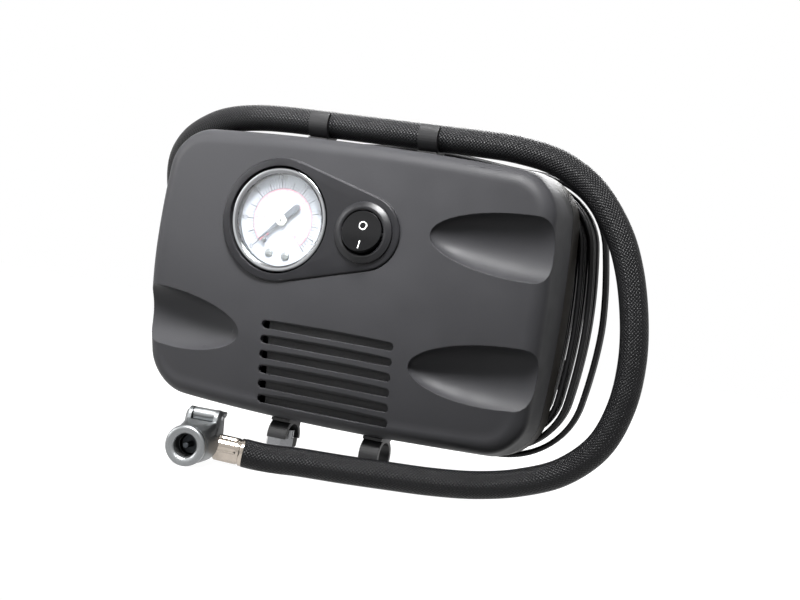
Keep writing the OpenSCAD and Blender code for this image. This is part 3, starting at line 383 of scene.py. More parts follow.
def braided_polyester(colour, yarns):
    """Braided polyester yarn: crossing yarns that shine at their crests, with painted shade that turns the
    colour black between them.
    """
    material, tree, shader = surface("Braided polyester yarn", colour, 0.42, specular_ior_level=0.16)
    cell = pi * HOSE_D * MM / yarns
    place = node(tree, "SeparateXYZ", {0: node(tree, "UVMap", uv_map="along").outputs["UV"]})
    crests, cells = [], []
    for lean in ("ADD", "SUBTRACT"):
        lane = node(tree, "Math", {0: place.outputs["X"], 1: place.outputs["Y"]}, operation=lean).outputs[0]
        lane = node(tree, "Math", {0: lane, 1: 1 / cell}, operation="MULTIPLY").outputs[0]
        part = node(tree, "Math", {0: lane}, operation="FRACT").outputs[0]
        part = node(tree, "Math", {0: part, 1: pi}, operation="MULTIPLY").outputs[0]
        crests.append(node(tree, "Math", {0: part}, operation="SINE").outputs[0])
        cells.append(node(tree, "Math", {0: lane}, operation="FLOOR").outputs[0])
    both = node(tree, "Math", {0: cells[0], 1: cells[1]}, operation="ADD").outputs[0]
    parity = node(tree, "Math", {0: both, 1: 2}, operation="FLOORED_MODULO").outputs[0]
    # A yarn lies high over the middle of its cell and falls off to both sides
    over = []
    for crest, other in (crests, crests[::-1]):
        fall = node(tree, "MapRange", {"Value": other, "To Min": 0.35}).outputs[0]
        over.append(node(tree, "Math", {0: crest, 1: fall}, operation="MULTIPLY").outputs[0])
    height = node(tree, "Mix", {0: parity, 2: over[0], 3: over[1]}, data_type="FLOAT").outputs[0]
    # Fluff dulls some crests, in patches just under a millimetre
    fluff = node(tree, "TexNoise", {"Vector": node(tree, "TexCoord").outputs["Object"],
                                    "Scale": 1 / (0.9 * MM), "Detail": 3}).outputs["Fac"]
    fluff = node(tree, "MapRange", {"Value": fluff, "From Min": 0.35, "From Max": 0.7,
                                    "To Min": 0.2, "To Max": 1.15}).outputs[0]
    lit = node(tree, "Math", {0: height, 1: fluff}, operation="MULTIPLY").outputs[0]
    # Painted shade between the yarns: the colour falls to near black where a yarn sinks
    mixed = node(tree, "Mix", {0: lit, 6: linear("#040405"), 7: linear(colour)}, data_type="RGBA")
    tree.links.new(mixed.outputs[2], shader.inputs["Base Color"])
    relief = node(tree, "Bump", {"Height": height, "Distance": 0.25 * MM, "Strength": 0.9})
    tree.links.new(relief.outputs["Normal"], shader.inputs["Normal"])
    return material


def clear_acrylic():
    """Clear moulded acrylic: sharp reflections and a faint haze of fine wipe marks, 4 mm apart."""
    material, tree, shader = surface("Clear acrylic", "#f7fafa", 0.02, transmission_weight=1, ior=1.49)
    place = node(tree, "TexCoord").outputs["Object"]
    haze = node(tree, "TexNoise", {"Vector": place, "Scale": 1 / (4 * MM), "Detail": 4}).outputs["Fac"]
    rough = node(tree, "MapRange", {"Value": haze, "From Min": 0.4, "From Max": 0.8, "To Max": 0.05})
    tree.links.new(rough.outputs[0], shader.inputs["Roughness"])
    return material


def make_finishes():
    """Every finish of the inflator, by a short name.

    The numbers are roughness, metallic, grain, depth, mottle and edge.
    """
    look = bpy.context.scene.inflator_look
    depth = look.grain_depth
    return {
        # Spark-eroded ABS: a fine matt grain that lifts the charcoal to grey where the light falls
        "front": grained("Moulded ABS, charcoal", look.front_colour, 0.5, 0, 0.42, depth, 0.07, 0.45,
                         specular_ior_level=0.16),
        # The pad round the gauge and the switch has a finer grain than the face and a darker colour
        "pad": grained("Moulded ABS, smooth", "#1a1a1c", 0.34, 0, 0.3, 0.5 * depth, 0.05, 0.35,
                       specular_ior_level=0.15),
        # The same ABS in a warmer black: the back is duller than the front
        "rear": grained("Moulded ABS, brown black", look.rear_colour, 0.48, 0, 0.45, depth, 0.07, 0.4,
                        specular_ior_level=0.12),
        # Cut foam: open pores that swallow the light behind the slots
        "filter": grained("Open foam, dark grey", "#1c1c1d", 0.85, 0, 0.9, 0.2, 0.3, 0.2),
        # Moulded nylon: smoother than the shells, with a soft shine along its bends
        "clip": grained("Moulded nylon, black", "#121213", 0.36, 0, 0.6, 0.006, 0.08, 0.3,
                        specular_ior_level=0.35),
        # Moulded polycarbonate of the switch: satin ring and a polished rocker
        "bezel": grained("Moulded polycarbonate, satin", "#161618", 0.34, 0, 0.5, 0.004, 0.08, 0.25,
                         specular_ior_level=0.25),
        "rocker": grained("Moulded polycarbonate, polished", "#060607", 0.24, 0, 1.6, 0.002, 0.08, 0.25,
                          spread=0.03, specular_ior_level=0.14),
        # Enamel wiped into the marks: even, clean white
        "mark": grained("Filled white enamel", "#ececea", 0.4, 0, 0.5, 0.004, 0.03, 0.05),
        # Chrome plate over turned steel: bright, with the room drawn out along its bends
        "chrome": grained("Chrome plate on turned steel", "#7c7d7f", 0.2, 1, 0.8, 0.002, 0.03, 0.12,
                          spread=0.05),
        # Nickel plate: warmer than chrome, and slightly uneven from the crimping
        "nickel": grained("Nickel plate on brass", "#aca399", 0.16, 1, 1.2, 0.012, 0.06, 0.2, spread=0.05),
        # Tumbled zinc casting: grey and satin, with a rough skin
        "zinc": grained("Tumbled zinc casting", "#686a6b", 0.4, 1, 0.55, 0.022, 0.16, 0.3, spread=0.1),
        # The same zinc where tools and hands have worn it bright
        "zinc_bright": grained("Machined zinc, worn bright", "#7b7d7e", 0.34, 1, 0.5, 0.008, 0.1, 0.15),
        # The valve depressor's pin: zinc with painted shade for the shade deep in the mouth, dark and rough
        "dark_zinc": grained("Zinc casting, darkened", "#3d4043", 0.5, 1, 0.4, 0.015, 0.2, 0.1),
        # Bright zinc plate on the screws, and the same gone dull behind the lens
        "plated": grained("Zinc plate on steel", "#b4b5b6", 0.32, 1, 0.35, 0.004, 0.08, 0.12),
        "tarnished": grained("Zinc plate, dull", "#7d7f80", 0.45, 1, 0.4, 0.01, 0.15, 0.1),
        # Ground steel: fine lines round pins and shafts
        "steel": grained("Ground steel", "#b9babc", 0.24, 1, 0.3, 0.003, 0.06, 0.1, stretch=(1, 8, 8)),
        # Drawn sheet: long, faint draw marks along the motor
        "can": grained("Zinc-plated drawn sheet", "#a9acae", 0.34, 1, 0.9, 0.004, 0.08, 0.25,
                       stretch=(0.2, 1, 1)),
        # Pressed and sintered powder: dark, dull and speckled
        "ferrite": grained("Sintered ferrite", "#2a2a2c", 0.65, 0, 0.25, 0.01, 0.2, 0.15),
        # Wound wire: glossy strands that run along the rotor
        "copper": grained("Enamelled copper winding", "#b0653a", 0.3, 1, 0.5, 0.05, 0.25, 0.1,
                          stretch=(0.15, 1, 1)),
        # Die casting: grey and satin, with flow marks
        "cast": grained("Aluminium die casting", "#a6a8aa", 0.42, 1, 0.6, 0.02, 0.1, 0.35, spread=0.08),
        # Stamped brass: yellow, with a soft gloss
        "brass": grained("Stamped brass", "#c39a4a", 0.28, 1, 0.4, 0.004, 0.1, 0.1),
        # Undyed nylon: milky, and a little light passes into it
        "nylon": grained("Moulded nylon, natural", "#e3dfd2", 0.42, 0, 0.7, 0.004, 0.03, 0.15,
                         subsurface_weight=0.1, subsurface_radius=(0.001, 0.001, 0.0008)),
        # Moulded nitrile rubber: black, dull and a little dusty
        "rubber": grained("Moulded nitrile rubber", "#161617", 0.62, 0, 0.35, 0.01, 0.15, 0.2),
        # Extruded PVC: satin, and slightly uneven along its length
        "pvc": grained("Extruded PVC, black", "#0b0b0c", 0.38, 0, 0.8, 0.006, 0.12, 0.2, spread=0.08,
                       specular_ior_level=0.2),
        "red_pvc": grained("Extruded PVC, red", "#a31a15", 0.36, 0, 0.8, 0.004, 0.06, 0.1),
        # Silicone tube: cloudy, with light that passes into it
        "silicone": grained("Extruded silicone, clear", "#d5d4cc", 0.35, 0, 1, 0.004, 0.04, 0.1,
                            subsurface_weight=0.3, subsurface_radius=(0.002, 0.002, 0.0018)),
        # Phenolic from a polished mould: a hard satin black
        "plug": grained("Moulded phenolic, satin black", "#141416", 0.33, 0, 0.6, 0.005, 0.1, 0.3),
        # Glass tube between nickel caps: smooth and bright
        "fuse": grained("Fuse glass and caps", "#c8cccc", 0.12, 0.4, 1.5, 0.002, 0.05, 0.1),
        # Sprayed lacquer under the print: even and without shine, so the print stays easy to read. The dial
        # is white, and its grey colour is painted shade over the whole dial
        "dial": grained("Matt pale grey lacquer", "#888b93", 0.55, 0, 0.5, 0.002, 0.02, 0.1),
        # Screen-printed ink: thin, flat and matt
        "black_ink": grained("Black printing ink", "#0e0f12", 0.6, 0, 0.3, 0.001, 0.1, 0.02),
        "red_ink": grained("Red printing ink", "#d2525f", 0.6, 0, 0.3, 0.001, 0.1, 0.02),
        # Sprayed sheet of the pointer, and its plain white hub
        "pointer": grained("Grey lacquered aluminium", "#3c4046", 0.4, 0, 0.5, 0.002, 0.05, 0.1),
        "hub": grained("Moulded acetal, white", "#b9b7b0", 0.4, 0, 0.6, 0.002, 0.02, 0.15),
        "braid": braided_polyester(look.braid_colour, look.braid_yarns),
        "acrylic": clear_acrylic(),
    }


FINISHES = {}


def finish_of(name):
    if not FINISHES:
        FINISHES.update(make_finishes())
    return FINISHES[name]


# --- Settings ---

class InflatorLook(bpy.types.PropertyGroup):
    front_colour: StringProperty(
        name="Front shell", description="Colour of the front shell's ABS", default="#2b2b2d")
    rear_colour: StringProperty(
        name="Rear shell", description="Colour of the rear shell's ABS", default="#2a2825")
    braid_colour: StringProperty(
        name="Braid", description="Colour of the yarn at its crests", default="#131315")
    braid_yarns: IntProperty(
        name="Yarns", description="Yarns of the braid in one direction", default=24, min=12, max=48)
    grain_depth: FloatProperty(
        name="Grain depth", description="Depth of the shells' moulded grain, in millimetres",
        default=0.012, min=0, max=0.1)


class InflatorShape(bpy.types.PropertyGroup):
    face_rows: IntProperty(
        name="Face rows", description="Rings of the front shell's face", default=22, min=8, max=60)
    hose_sides: IntProperty(
        name="Hose sides", description="Sides of the hose's tube", default=48, min=12, max=96)
    hose_length: FloatProperty(
        name="Hose length", description="Real length of the air hose", default=0.4997, subtype="DISTANCE")
    lead_length: FloatProperty(
        name="Lead length", description="Real length of the lead wound on the drum", default=3.42,
        subtype="DISTANCE")


class InflatorStage(bpy.types.PropertyGroup):
    top_power: FloatProperty(
        name="Top light", description="Power of the strong soft light above", default=1.75, subtype="POWER")
    front_power: FloatProperty(
        name="Front light", description="Power of the weak soft light in front", default=0.5,
        subtype="POWER")
    left_power: FloatProperty(
        name="Left light", description="Power of the weak soft light on the left", default=0.4,
        subtype="POWER")
    back_power: FloatProperty(
        name="Back light", description="Power of the soft light behind, for views of the back", default=7,
        subtype="POWER")
    sky_level: FloatProperty(
        name="Sky", description="Level of the even light from all round", default=0.03, min=0, max=2)
    floor_glow: FloatProperty(
        name="Floor glow", description="How far the floor is lifted to the white of the background",
        default=0.96, min=0, max=2)


# --- Stage ---

# The camera's place and the point it looks at, in millimetres, its roll in degrees and its focal length
# as a share of the picture's width
CAMERA_AT = (233.0, -547.9, 79.2)
CAMERA_TO = (14.0, 10.6, 68.8)
CAMERA_ROLL = 9.21
CAMERA_FOCAL = 1519.7 / 800
# Each light with its power's name, its place, the point it faces, its width and height, and the angle in
# degrees that it throws
LIGHTS = (("Top light", "top_power", (25, -306, 600), (-30, -25, 190), 300, 300, 36),
          ("Front light", "front_power", (-246, -553, 215), (0, -25, 70), 300, 300, 180),
          ("Left light", "left_power", (-488, -307, 275), (-80, -25, 160), 300, 300, 60),
          ("Back light", "back_power", (-160, 620, 420), (0, 25, 60), 500, 400, 180))
FLOOR_HALF, FLOOR_T = 1500, 4


def softbox(name, power, at, to, width, height, spread):
    lamp = bpy.data.lights.new(name, "AREA")
    lamp.shape = "RECTANGLE"
    lamp.size, lamp.size_y = width * MM, height * MM
    lamp.energy = power
    lamp.spread = radians(spread)
    made = stand(name, lamp)
    made.location = Vector(at) * MM
    made.rotation_euler = (Vector(to) - Vector(at)).to_track_quat("-Z", "Y").to_euler()


def seen_directly(tree):
    """1 for rays from the camera, from mirrors and through glass, which see the plain background."""
    path = node(tree, "LightPath").outputs
    seen = path["Is Camera Ray"]
    for kind in ("Is Glossy Ray", "Is Transmission Ray"):
        seen = node(tree, "Math", {0: seen, 1: path[kind]}, operation="MAXIMUM").outputs[0]
    return seen


def studio_world(sky_level):
    """A plain white background that gives only a faint even light."""
    world = bpy.data.worlds.new("Studio")
    world.use_nodes = True
    tree = world.node_tree
    sky = tree.nodes["Background"]
    level = node(tree, "MapRange", {"Value": seen_directly(tree), "To Min": sky_level, "To Max": 1})
    tree.links.new(level.outputs[0], sky.inputs["Strength"])
    sky.inputs["Color"].default_value = (1, 1, 1, 1)
    return world


def paper_floor(glow_level):
    """The paper throws little light back up, and shows as white as the background."""
    corners = [(x * FLOOR_HALF, y * FLOOR_HALF - 200) for x, y in ((-1, -1), (1, -1), (1, 1), (-1, 1))]
    floor = skin("floor", [[(x, y, z) for x, y in corners] for z in (-FLOOR_T, 0)])
    material, tree, shader = surface("White paper", "#626262", 0.9, specular_ior_level=0.1)
    glow = node(tree, "Emission", {"Strength": glow_level})
    lit = node(tree, "AddShader", {0: shader.outputs[0], 1: glow.outputs[0]})
    shown = node(tree, "MixShader", {0: seen_directly(tree), 1: shader.outputs[0], 2: lit.outputs[0]})
    tree.links.new(shown.outputs[0], tree.nodes["Material Output"].inputs["Surface"])
    floor.data.materials.append(material)


class INFLATOR_OT_stage(bpy.types.Operator):
    """Makes the camera, the lights, the sky and the floor"""
    bl_idname = "inflator.stage"
    bl_label = "Stage"

    def execute(self, context):
        scene = context.scene
        stage = scene.inflator_stage
        lens = bpy.data.cameras.new("Camera")
        lens.sensor_width = 36
        lens.lens = CAMERA_FOCAL * lens.sensor_width
        lens.clip_start, lens.clip_end = 0.01, 20
        scene.camera = stand("Camera", lens)
        forward = Vector(CAMERA_TO) - Vector(CAMERA_AT)
        turn = Quaternion(forward, radians(-CAMERA_ROLL)) @ forward.to_track_quat("-Z", "Y")
        scene.camera.matrix_world = move(CAMERA_AT) @ turn.to_matrix().to_4x4()
        scene.view_settings.view_transform = "Standard"
        for name, power, *placing in LIGHTS:
            softbox(name, getattr(stage, power), *placing)
        scene.world = studio_world(stage.sky_level)
        paper_floor(stage.floor_glow)
        return {"FINISHED"}


# --- Hose and lead ---

GLAND_AT, GLAND_LEAN, GLAND_OUT = Vector((-DRUM_W / 2, 26, 56)), radians(45), 3
GLAND_DIR = Vector((-sin(GLAND_LEAN), 0, cos(GLAND_LEAN)))
FERRULE_FROM, FERRULE_TO = Vector((-13, -50, 5.4)), Vector((-23.2, -53.6, 6.1))
FERRULE_RUN = FERRULE_TO - FERRULE_FROM
COLLAR_R, COLLAR_L, SLEEVE_R, PRESS_DEPTH, END_ROUND = 5.1, 1.5, 4.85, 0.5, 0.6
HOSE_ROUTE = [GLAND_AT + GLAND_OUT * GLAND_DIR, GLAND_AT + (GLAND_OUT + 9) * GLAND_DIR,
    (-85, 26, 71.5), (-94.5, 26, 86), (-99.6, 23.5, 100), (-97, 16.5, 112), (-88, 8, 120.6),
    (-76, 1.5, 126.6), (-64, -3.4, 129.9), (-50, -6.4, 131.6), (-36, -7, 132.2), (-22, -7, 132.2),
    (0, -7, 132.2), (23.9, -7, 132.2), (42, -7, 132.2), (58.8, -7.5, 131.6), (74.8, -7.5, 128.6),
    (88.7, -7.5, 120.8), (100.1, -7.5, 107.6), (107, -7.5, 93.6), (111.7, -7.5, 76.4),
    (113.6, -7.5, 60), (112.2, -7.5, 43.6), (106.4, -7.5, 28.6), (94.5, -7.5, 17), (79, -8, 10),
    (64, -12, 6.4), (50, -20, 5.3), (36, -29, 5.3), (21, -37, 5.3), (5.5, -43.2, 5.3),
    FERRULE_FROM - 9 * FERRULE_RUN.normalized(), FERRULE_FROM]

LEAD_W, LEAD_T, LEAD_TURNS, LEAD_PITCH = 4.4, 2.2, 7.055, 2.8
LEAD_Y, LEAD_FROM, LEAD_GAP, RELIEF_L = (13.4, 18.4), 4.28, 1.9, 22
# Steps of one turn of the lead here, and of the whole lead in the part's source
LEAD_STEPS, SOURCE_STEPS = 160, 169
# How far the lead is sunk in its groove at its start, how far it rises where it crosses to its second
# layer, each with the turns it takes, and how slack its first loop and each further loop hang
SUNK, SUNK_TURNS, CROSS, CROSS_TURNS, SLACK, SLACK_MORE = 4.6, 0.05, 1.6, 0.3, 7, 1.3


def lead_offset(t):
    """Distance of the lead's middle from the drum's wall after a number of turns."""
    return (LEAD_GAP + LEAD_PITCH * min(t, LEAD_TURNS - t) - SUNK * (1 - ease(t / SUNK_TURNS))
            + CROSS * max(0, 1 - abs(t - LEAD_TURNS / 2) / CROSS_TURNS))


def lead_point(t):
    """A point of the lead: eight stretches to a turn, straight sides and corners in turn."""
    s = LEAD_FROM + 8 * t
    k, f = int(s) % 8, s - int(s)
    r = DRUM_R + lead_offset(t)
    x, z = DRUM_W / 2 - DRUM_R, DRUM_H / 2 - DRUM_R
    y = lerp(LEAD_Y[0], LEAD_Y[1], ease(2.5 * (t - LEAD_TURNS / 2) + 0.5))
    even = min(t, LEAD_TURNS - t)
    # The loops hang slack down the right side, from corner to corner
    spot = (s - 7) % 8
    if spot < 3:
        r += (SLACK + SLACK_MORE * even) * sin(pi * spot / 3) ** 2
    if k == 0:
        at = (x + r, lerp(z, -z, f))
    elif k == 2:
        at = (lerp(x, -x, f), -z - r)
    elif k == 4:
        at = (-x - r, lerp(-z, z, f))
    elif k == 6:
        at = (lerp(-x, x, f), z + r + (1 + 0.8 * even) * sin(pi * f ** 1.4) ** 1.5)
    else:
        turn = radians({1: 0, 3: 270, 5: 180, 7: 90}[k] - 90 * f)
        at = ((x if k in (1, 7) else -x) + r * cos(turn), (-z if k < 4 else z) + r * sin(turn))
    return Vector((at[0], y, BODY_MID_Z + at[1]))


def twin_section(sides=9):
    """The section of the flat twin lead: two round cores side by side, joined by a web."""
    r = LEAD_T / 2
    half = [(LEAD_W / 2 - r + r * cos(a), r * sin(a))
            for a in (radians(-140 + 280 * k / (sides - 1)) for k in range(sides))]
    return half + [(-x, -y) for x, y in half]


def crimped_ferrule():
    """The sleeve pressed round the hose's end: a plain collar, then six pressed flats with long dimples."""
    length = FERRULE_RUN.length
    rings = []
    for along in (length * k / 40 for k in range(41)):
        press = PRESS_DEPTH * ease((along - 2.4) / 1.2) * ease((length - 1 - along) / 1.2)
        groove = 0.25 * exp(-((along - 1.7) / 0.35) ** 2)
        turned_in = 0.5 * max(0, 1 - (length - along) / END_ROUND) ** 2
        sleeve = (COLLAR_R if along < COLLAR_L else SLEEVE_R) - groove - turned_in
        ring = []
        for x, y in circle(1, 96):
            radius = sleeve - press * max(0, cos(6 * atan2(y, x))) ** 4
            ring.append((radius * x, radius * y, along))
        rings.append(ring)
    made = skin("crimped_ferrule", rings)
    made.data.transform(point(FERRULE_FROM, FERRULE_RUN))
    return made


class INFLATOR_OT_hose(bpy.types.Operator):
    """Makes the braided air hose and its crimped ferrule, and finishes the gland and the inner hose"""
    bl_idname = "inflator.hose"
    bl_label = "Hose"

    def execute(self, context):
        shape = context.scene.inflator_shape
        path = smooth_path(HOSE_ROUTE, 12)
        hose = tube("braided_hose", path, circle(HOSE_D / 2, shape.hose_sides))
        dress(hose, "braid", replaces=["air_hose"], crease=60)
        dress(crimped_ferrule(), "nickel", replaces=["hose_ferrule"], crease=50)
        finish_nodes(rubber=["hose_gland", "inner_hose"])
        return {"FINISHED"}


class INFLATOR_OT_lead(bpy.types.Operator):
    """Makes the flat twin lead wound on the drum and its tail to the plug"""
    bl_idname = "inflator.lead"
    bl_label = "Lead"

    def execute(self, context):
        count = round(LEAD_TURNS * LEAD_STEPS)
        path = [lead_point(LEAD_TURNS * i / count) for i in range(count + 1)]
        lead = tube("wound_lead", path, twin_section())
        dress(lead, "pvc", replaces=["power_lead"], crease=70)
        last = path[-1]
        tail_path = smooth_path([
            last, last + Vector((0, 0.15, 4)), (-71.4, 19.6, 92), (-67.5, 21, 95.6), (-61, 21.9, 96.6),
            (-54, PLUG_Y, PLUG_Z), (PLUG_X[0], PLUG_Y, PLUG_Z)], 8)
        tail = tube("lead_tail", tail_path, twin_section())
        dress(tail, "pvc", replaces=["power_lead_tail"], crease=70)
        finish_nodes(rubber=["lead_strain_relief"])
        return {"FINISHED"}


# --- Front shell ---

# Points of a corner, a long side and a short side of the outline
OUTLINE_STEPS = (16, 48, 28)
# The face's depth and the height where it is flat. It leans back with the square of the distance from there,
# and drops to the sides, the more so the lower it is
FACE_Y, FLAT_Z = 0.5 - PAD_DEPTH, CONTROL_Z - 14
LEAN_LOW, LEAN_HIGH, SIDE_DROP, SIDE_MORE, LAST_INSET = 0.0027, 0.0008, 3.6, 0.05, 5
DENTS, DENT_RADII = ((84, -27, 95.2), (82.5, -23, 46), (-84.5, -23, 46.6)), (48, 10, 13.4)
PAD_GAUGE_R, PAD_SWITCH_R, PAD_SOFT, PAD_GROOVE = 23.7, 14.2, 0.9, 0.45
FILTER_X, FILTER_Z, FILTER_Y = (-24, 31), (17.2, 55.5), (-0.45, 0.3)
SLOTS, SLOT_PITCH, SLOT_X, SLOT_L, SLOT_H, SLOT_TOP_Z = 6, 5.8, 0.9, 55, 3, 51.7


def outline(inset):
    """The housing's outline as X and distance from the middle's height, drawn in by an inset."""
    a, b = BODY_W / 2 - inset, BODY_H / 2 - inset
    r = min(max(CORNER_R - inset, 3), 0.6 * b)
    corner, long, short = OUTLINE_STEPS
    middles = ((a - r, b - r), (r - a, b - r), (r - a, r - b), (a - r, r - b))
    arcs = [[(x + r * cos(t), z + r * sin(t))
             for t in (radians(90 * (i + k / corner)) for k in range(corner + 1))]
            for i, (x, z) in enumerate(middles)]
    ring = []
    for i, steps in enumerate((long, short, long, short)):
        p, q = arcs[i][-1], arcs[(i + 1) % 4][0]
        ring += arcs[i] + [(lerp(p[0], q[0], k / steps), lerp(p[1], q[1], k / steps))
                           for k in range(1, steps)]
    return [(x * (1 - BOW_X / a * (z / b) ** 2), z * (1 - BOW_Z / b * (x / a) ** 2)) for x, z in ring]


def face_y(x, z):
    """Depth of the front face at a place: it leans back below and above the controls and at the sides."""
    low, high = max(0, FLAT_Z - z), max(0, z - FLAT_Z)
    return (FACE_Y + LEAN_LOW * low * low + LEAN_HIGH * high * high
            + (abs(x) / (BODY_W / 2)) ** 2.5 * (SIDE_DROP + SIDE_MORE * (BODY_Z + BODY_H - z)))


def band_ring(inset, y):
    return [(x, y, BODY_MID_Z + z) for x, z in outline(inset)]


def edge_ring(grow, turn):
    foot = outline(DRAFT + EDGE_R + grow)
    here = outline(DRAFT + grow + EDGE_R * (1 - cos(turn)))
    return [(x, face_y(fx, BODY_MID_Z + fz) + grow + EDGE_R * (1 - sin(turn)), BODY_MID_Z + z)
            for (fx, fz), (x, z) in zip(foot, here)]


def face_ring(grow, inset):
    return [(x, face_y(x, BODY_MID_Z + z) + grow, BODY_MID_Z + z) for x, z in outline(inset + grow)]


def front_solid(name, grow, seam_y, rows):
    """The solid inside the outer or the inner skin, from the seam forward."""
    first, last = DRAFT + EDGE_R, BODY_H / 2 - grow - LAST_INSET
    seam, bend = band_ring(grow, seam_y), edge_ring(grow, 0)
    rings = [[Vector(p).lerp(Vector(q), k / 4) for p, q in zip(seam, bend)] for k in range(4)]
    rings += [edge_ring(grow, t) for t in turns(7.5, 0, 12)]
    rings += [face_ring(grow, lerp(first, last, k / rows)) for k in range(1, rows + 1)]
    # The last ring is long and narrow, and is closed by strips between its upper and its lower side
    corner, long, short = OUTLINE_STEPS
    far = 4 * corner + 2 * long + short
    end = 2 * corner + long
    strips = [(k, k + 1, far - k - 1, far - k) for k in range(1, end - 1)]
    strips += [(0, 1, far - 1) + tuple(range(far, far + short)), tuple(range(end - 1, end + short + 2))]
    return skin(name, rings, strips)


def dent(at, grow):
    """A finger dent's bowl: a long ellipsoid that reaches past the side of the housing."""
    made = turned("dent", (0, 0, 0), 0, half_circle(1, 48))
    made.data.transform(move(at) @ Matrix.Diagonal([r + grow for r in DENT_RADII] + [1]))
    return made


def seat(x, z, up):
    """The seat and the socket of a hose clip."""
    return [block("seat", (x - w, CLIP_Y - d, min(z - up * far, z - up * near)),
                  (x + w, CLIP_Y + d, max(z - up * far, z - up * near)))
            for w, d, far, near in ((4, 5.1, 7.2, 3), (2.1, 2.1, 11, 5))]


def pad_ends(y, grow, length):
    """Points round the pad's two round ends, at a depth."""
    return discs([((x, y - PAD_DEPTH, CONTROL_Z), r + grow)
                  for x, r in ((GAUGE_X, PAD_GAUGE_R), (SWITCH_X, PAD_SWITCH_R))], 1, length, 128)


def on_pad(at):
    """Whether a place in front of the face lies within the outline of the pad."""
    share = min(max((at.x - GAUGE_X) / (SWITCH_X - GAUGE_X), 0), 1)
    middle = Vector((lerp(GAUGE_X, SWITCH_X, share), CONTROL_Z))
    return (Vector((at.x, at.z)) - middle).length < lerp(PAD_GAUGE_R, PAD_SWITCH_R, share) + 0.03


def slot_ends(y, z, grow, length):
    """Points round an air slot's two round ends, at a depth."""
    reach = (SLOT_L - SLOT_H) / 2
    return discs([((SLOT_X + s * reach, y, z), SLOT_H / 2 + grow) for s in (-1, 1)], 1, length, 32)


def air_slots():
    """The cutters of the slots, and then of the bevels round their mouths."""
    heights = [SLOT_TOP_Z - i * SLOT_PITCH for i in range(SLOTS)]
    made = [hull("slot", slot_ends(-PAD_DEPTH - 5, z, 0, 20)) for z in heights]
    for z in heights:
        y = face_y(20, z)
        made.append(hull("bevel", slot_ends(y + 0.2, z, 0, 0.01) + slot_ends(y - 1.5, z, 1.7, 0.01)))
    return made


def air_filter():
    """The thin foam that keeps dust out, just behind the air slots."""
    across = [lerp(*FILTER_X, k / 8) for k in range(9)]
    edge = [(x, FILTER_Y[0]) for x in across] + [(x, FILTER_Y[1]) for x in across[::-1]]
    return skin("air_filter", [[(x, face_y(x, z) + WALL + back, z) for x, back in edge]
                               for z in (lerp(*FILTER_Z, k / 12) for k in range(13))])


def at_screws(name, y, length, radius, sides=48):
    return [rod(name, (x, y, z), 1, length, radius, sides) for x, z, _ in SCREW_PLACES]


class INFLATOR_OT_front_shell(bpy.types.Operator):
    """Makes the front shell with its pad, finger dents, air slots, posts and ribs"""
    bl_idname = "inflator.front_shell"
    bl_label = "Front shell"

    def execute(self, context):
        rows = context.scene.inflator_shape.face_rows
        shell = front_solid("front_shell", 0, -SEAM_GAP, rows)
        pad = hull("pad", [p for t in turns(30, 0, 3)
                           for p in pad_ends(PAD_SOFT * (1 - sin(t)), PAD_SOFT * (cos(t) - 1), 5)])
        groove = hull("groove", pad_ends(-3, PAD_GROOVE, 4.1))
        room = front_solid("room", WALL, 0.1, rows)
        carve(room, ("DIFFERENCE", [dent(at, WALL) for at in DENTS]))
        carve(shell, ("DIFFERENCE", [groove]), ("UNION", [pad]),
              ("DIFFERENCE", [room] + [dent(at, 0) for at in DENTS]))
        inside = [rod("collar", (x, 1 - PAD_DEPTH, CONTROL_Z), 1, length, radius, 96)
                  for x, length, radius in ((GAUGE_X, 10, GAUGE_D / 2 + 2.6), (SWITCH_X, 4, 12.4))]
        inside += [hull("post", discs([((x, face_y(x, z) + back, z), 4.6)], 1, 2, 32)
                        + discs([((x, -3, z), 3.6)], 1, 2.5, 32)) for x, z, back in SCREW_PLACES]
        inside += [block("rib", (x, -6.5, 16.5), (x + 2.5, -0.5, 40)) for x in (-28, -12)]
        holes = [rod("bore", (-42, PUMP_Y, MOTOR_Z), 0, 45, MOTOR_R + 0.05, 96)]
        holes += [rod("bore", (x, -PAD_DEPTH - 2, CONTROL_Z), 1, length, radius, sides)
                  for x, length, radius, sides in ((GAUGE_X, 16, GAUGE_D / 2 + 0.6, 128),
                                                   (SWITCH_X, 12, 10.05, 96))]
        holes += air_slots() + at_screws("bore", -12, 20, 1.4, 24)
        for low, high in CLIP_X:
            holes += seat(low, BOTTOM_HOSE_Z, -1) + seat(high, TOP_HOSE_Z, 1)
        carve(shell, ("UNION", inside), ("DIFFERENCE", holes))
        dress(shell, "front", replaces=["front_housing"], crease=28)
        shell.data.materials.append(finish_of("pad"))
        for face in shell.data.polygons:
            at = face.center / MM
            if at.y < 0.95 - PAD_DEPTH and on_pad(at):
                face.material_index = 1
        dress(air_filter(), "filter")
        return {"FINISHED"}


# --- Rear shell ---

TROUGH_R, TROUGH_X = 11.6, (-DRUM_W / 2 - 1, 40)
# The lugs' thickness, and the radii to which the band's back edge and the legs' soles are rounded
LUG_T, BACK_SOFT, SOLE_SOFT = 2.6, 1.4, 1.2
FOOT_X = (-34, 7)
# The posts round the screws, the bores for their shanks and heads, and where the heads are stopped
POST_R, SHANK_R, HEAD_R, HEAD_Y = 4.6, 1.75, 3.5, 6


def drum(name, y, length, grow):
    return hull(name, discs([((sx * (DRUM_W / 2 - DRUM_R), y, BODY_MID_Z + sz * (DRUM_H / 2 - DRUM_R)),
                              DRUM_R + grow) for sx in (-1, 1) for sz in (-1, 1)], 1, length, 96))


def slab(y, length, inset):
    return skin("slab", [band_ring(inset, y), band_ring(inset, y + length)])


def trough(grow):
    """The room for the plug, open to the back."""
    start, depths = TROUGH_X[0] - 5, (PLUG_Y + 0.5, DRUM_DEPTH + 10)
    return hull("trough", discs([((start, y, PLUG_Z), TROUGH_R + grow) for y in depths], 0,
                                TROUGH_X[1] - start + grow, 96))


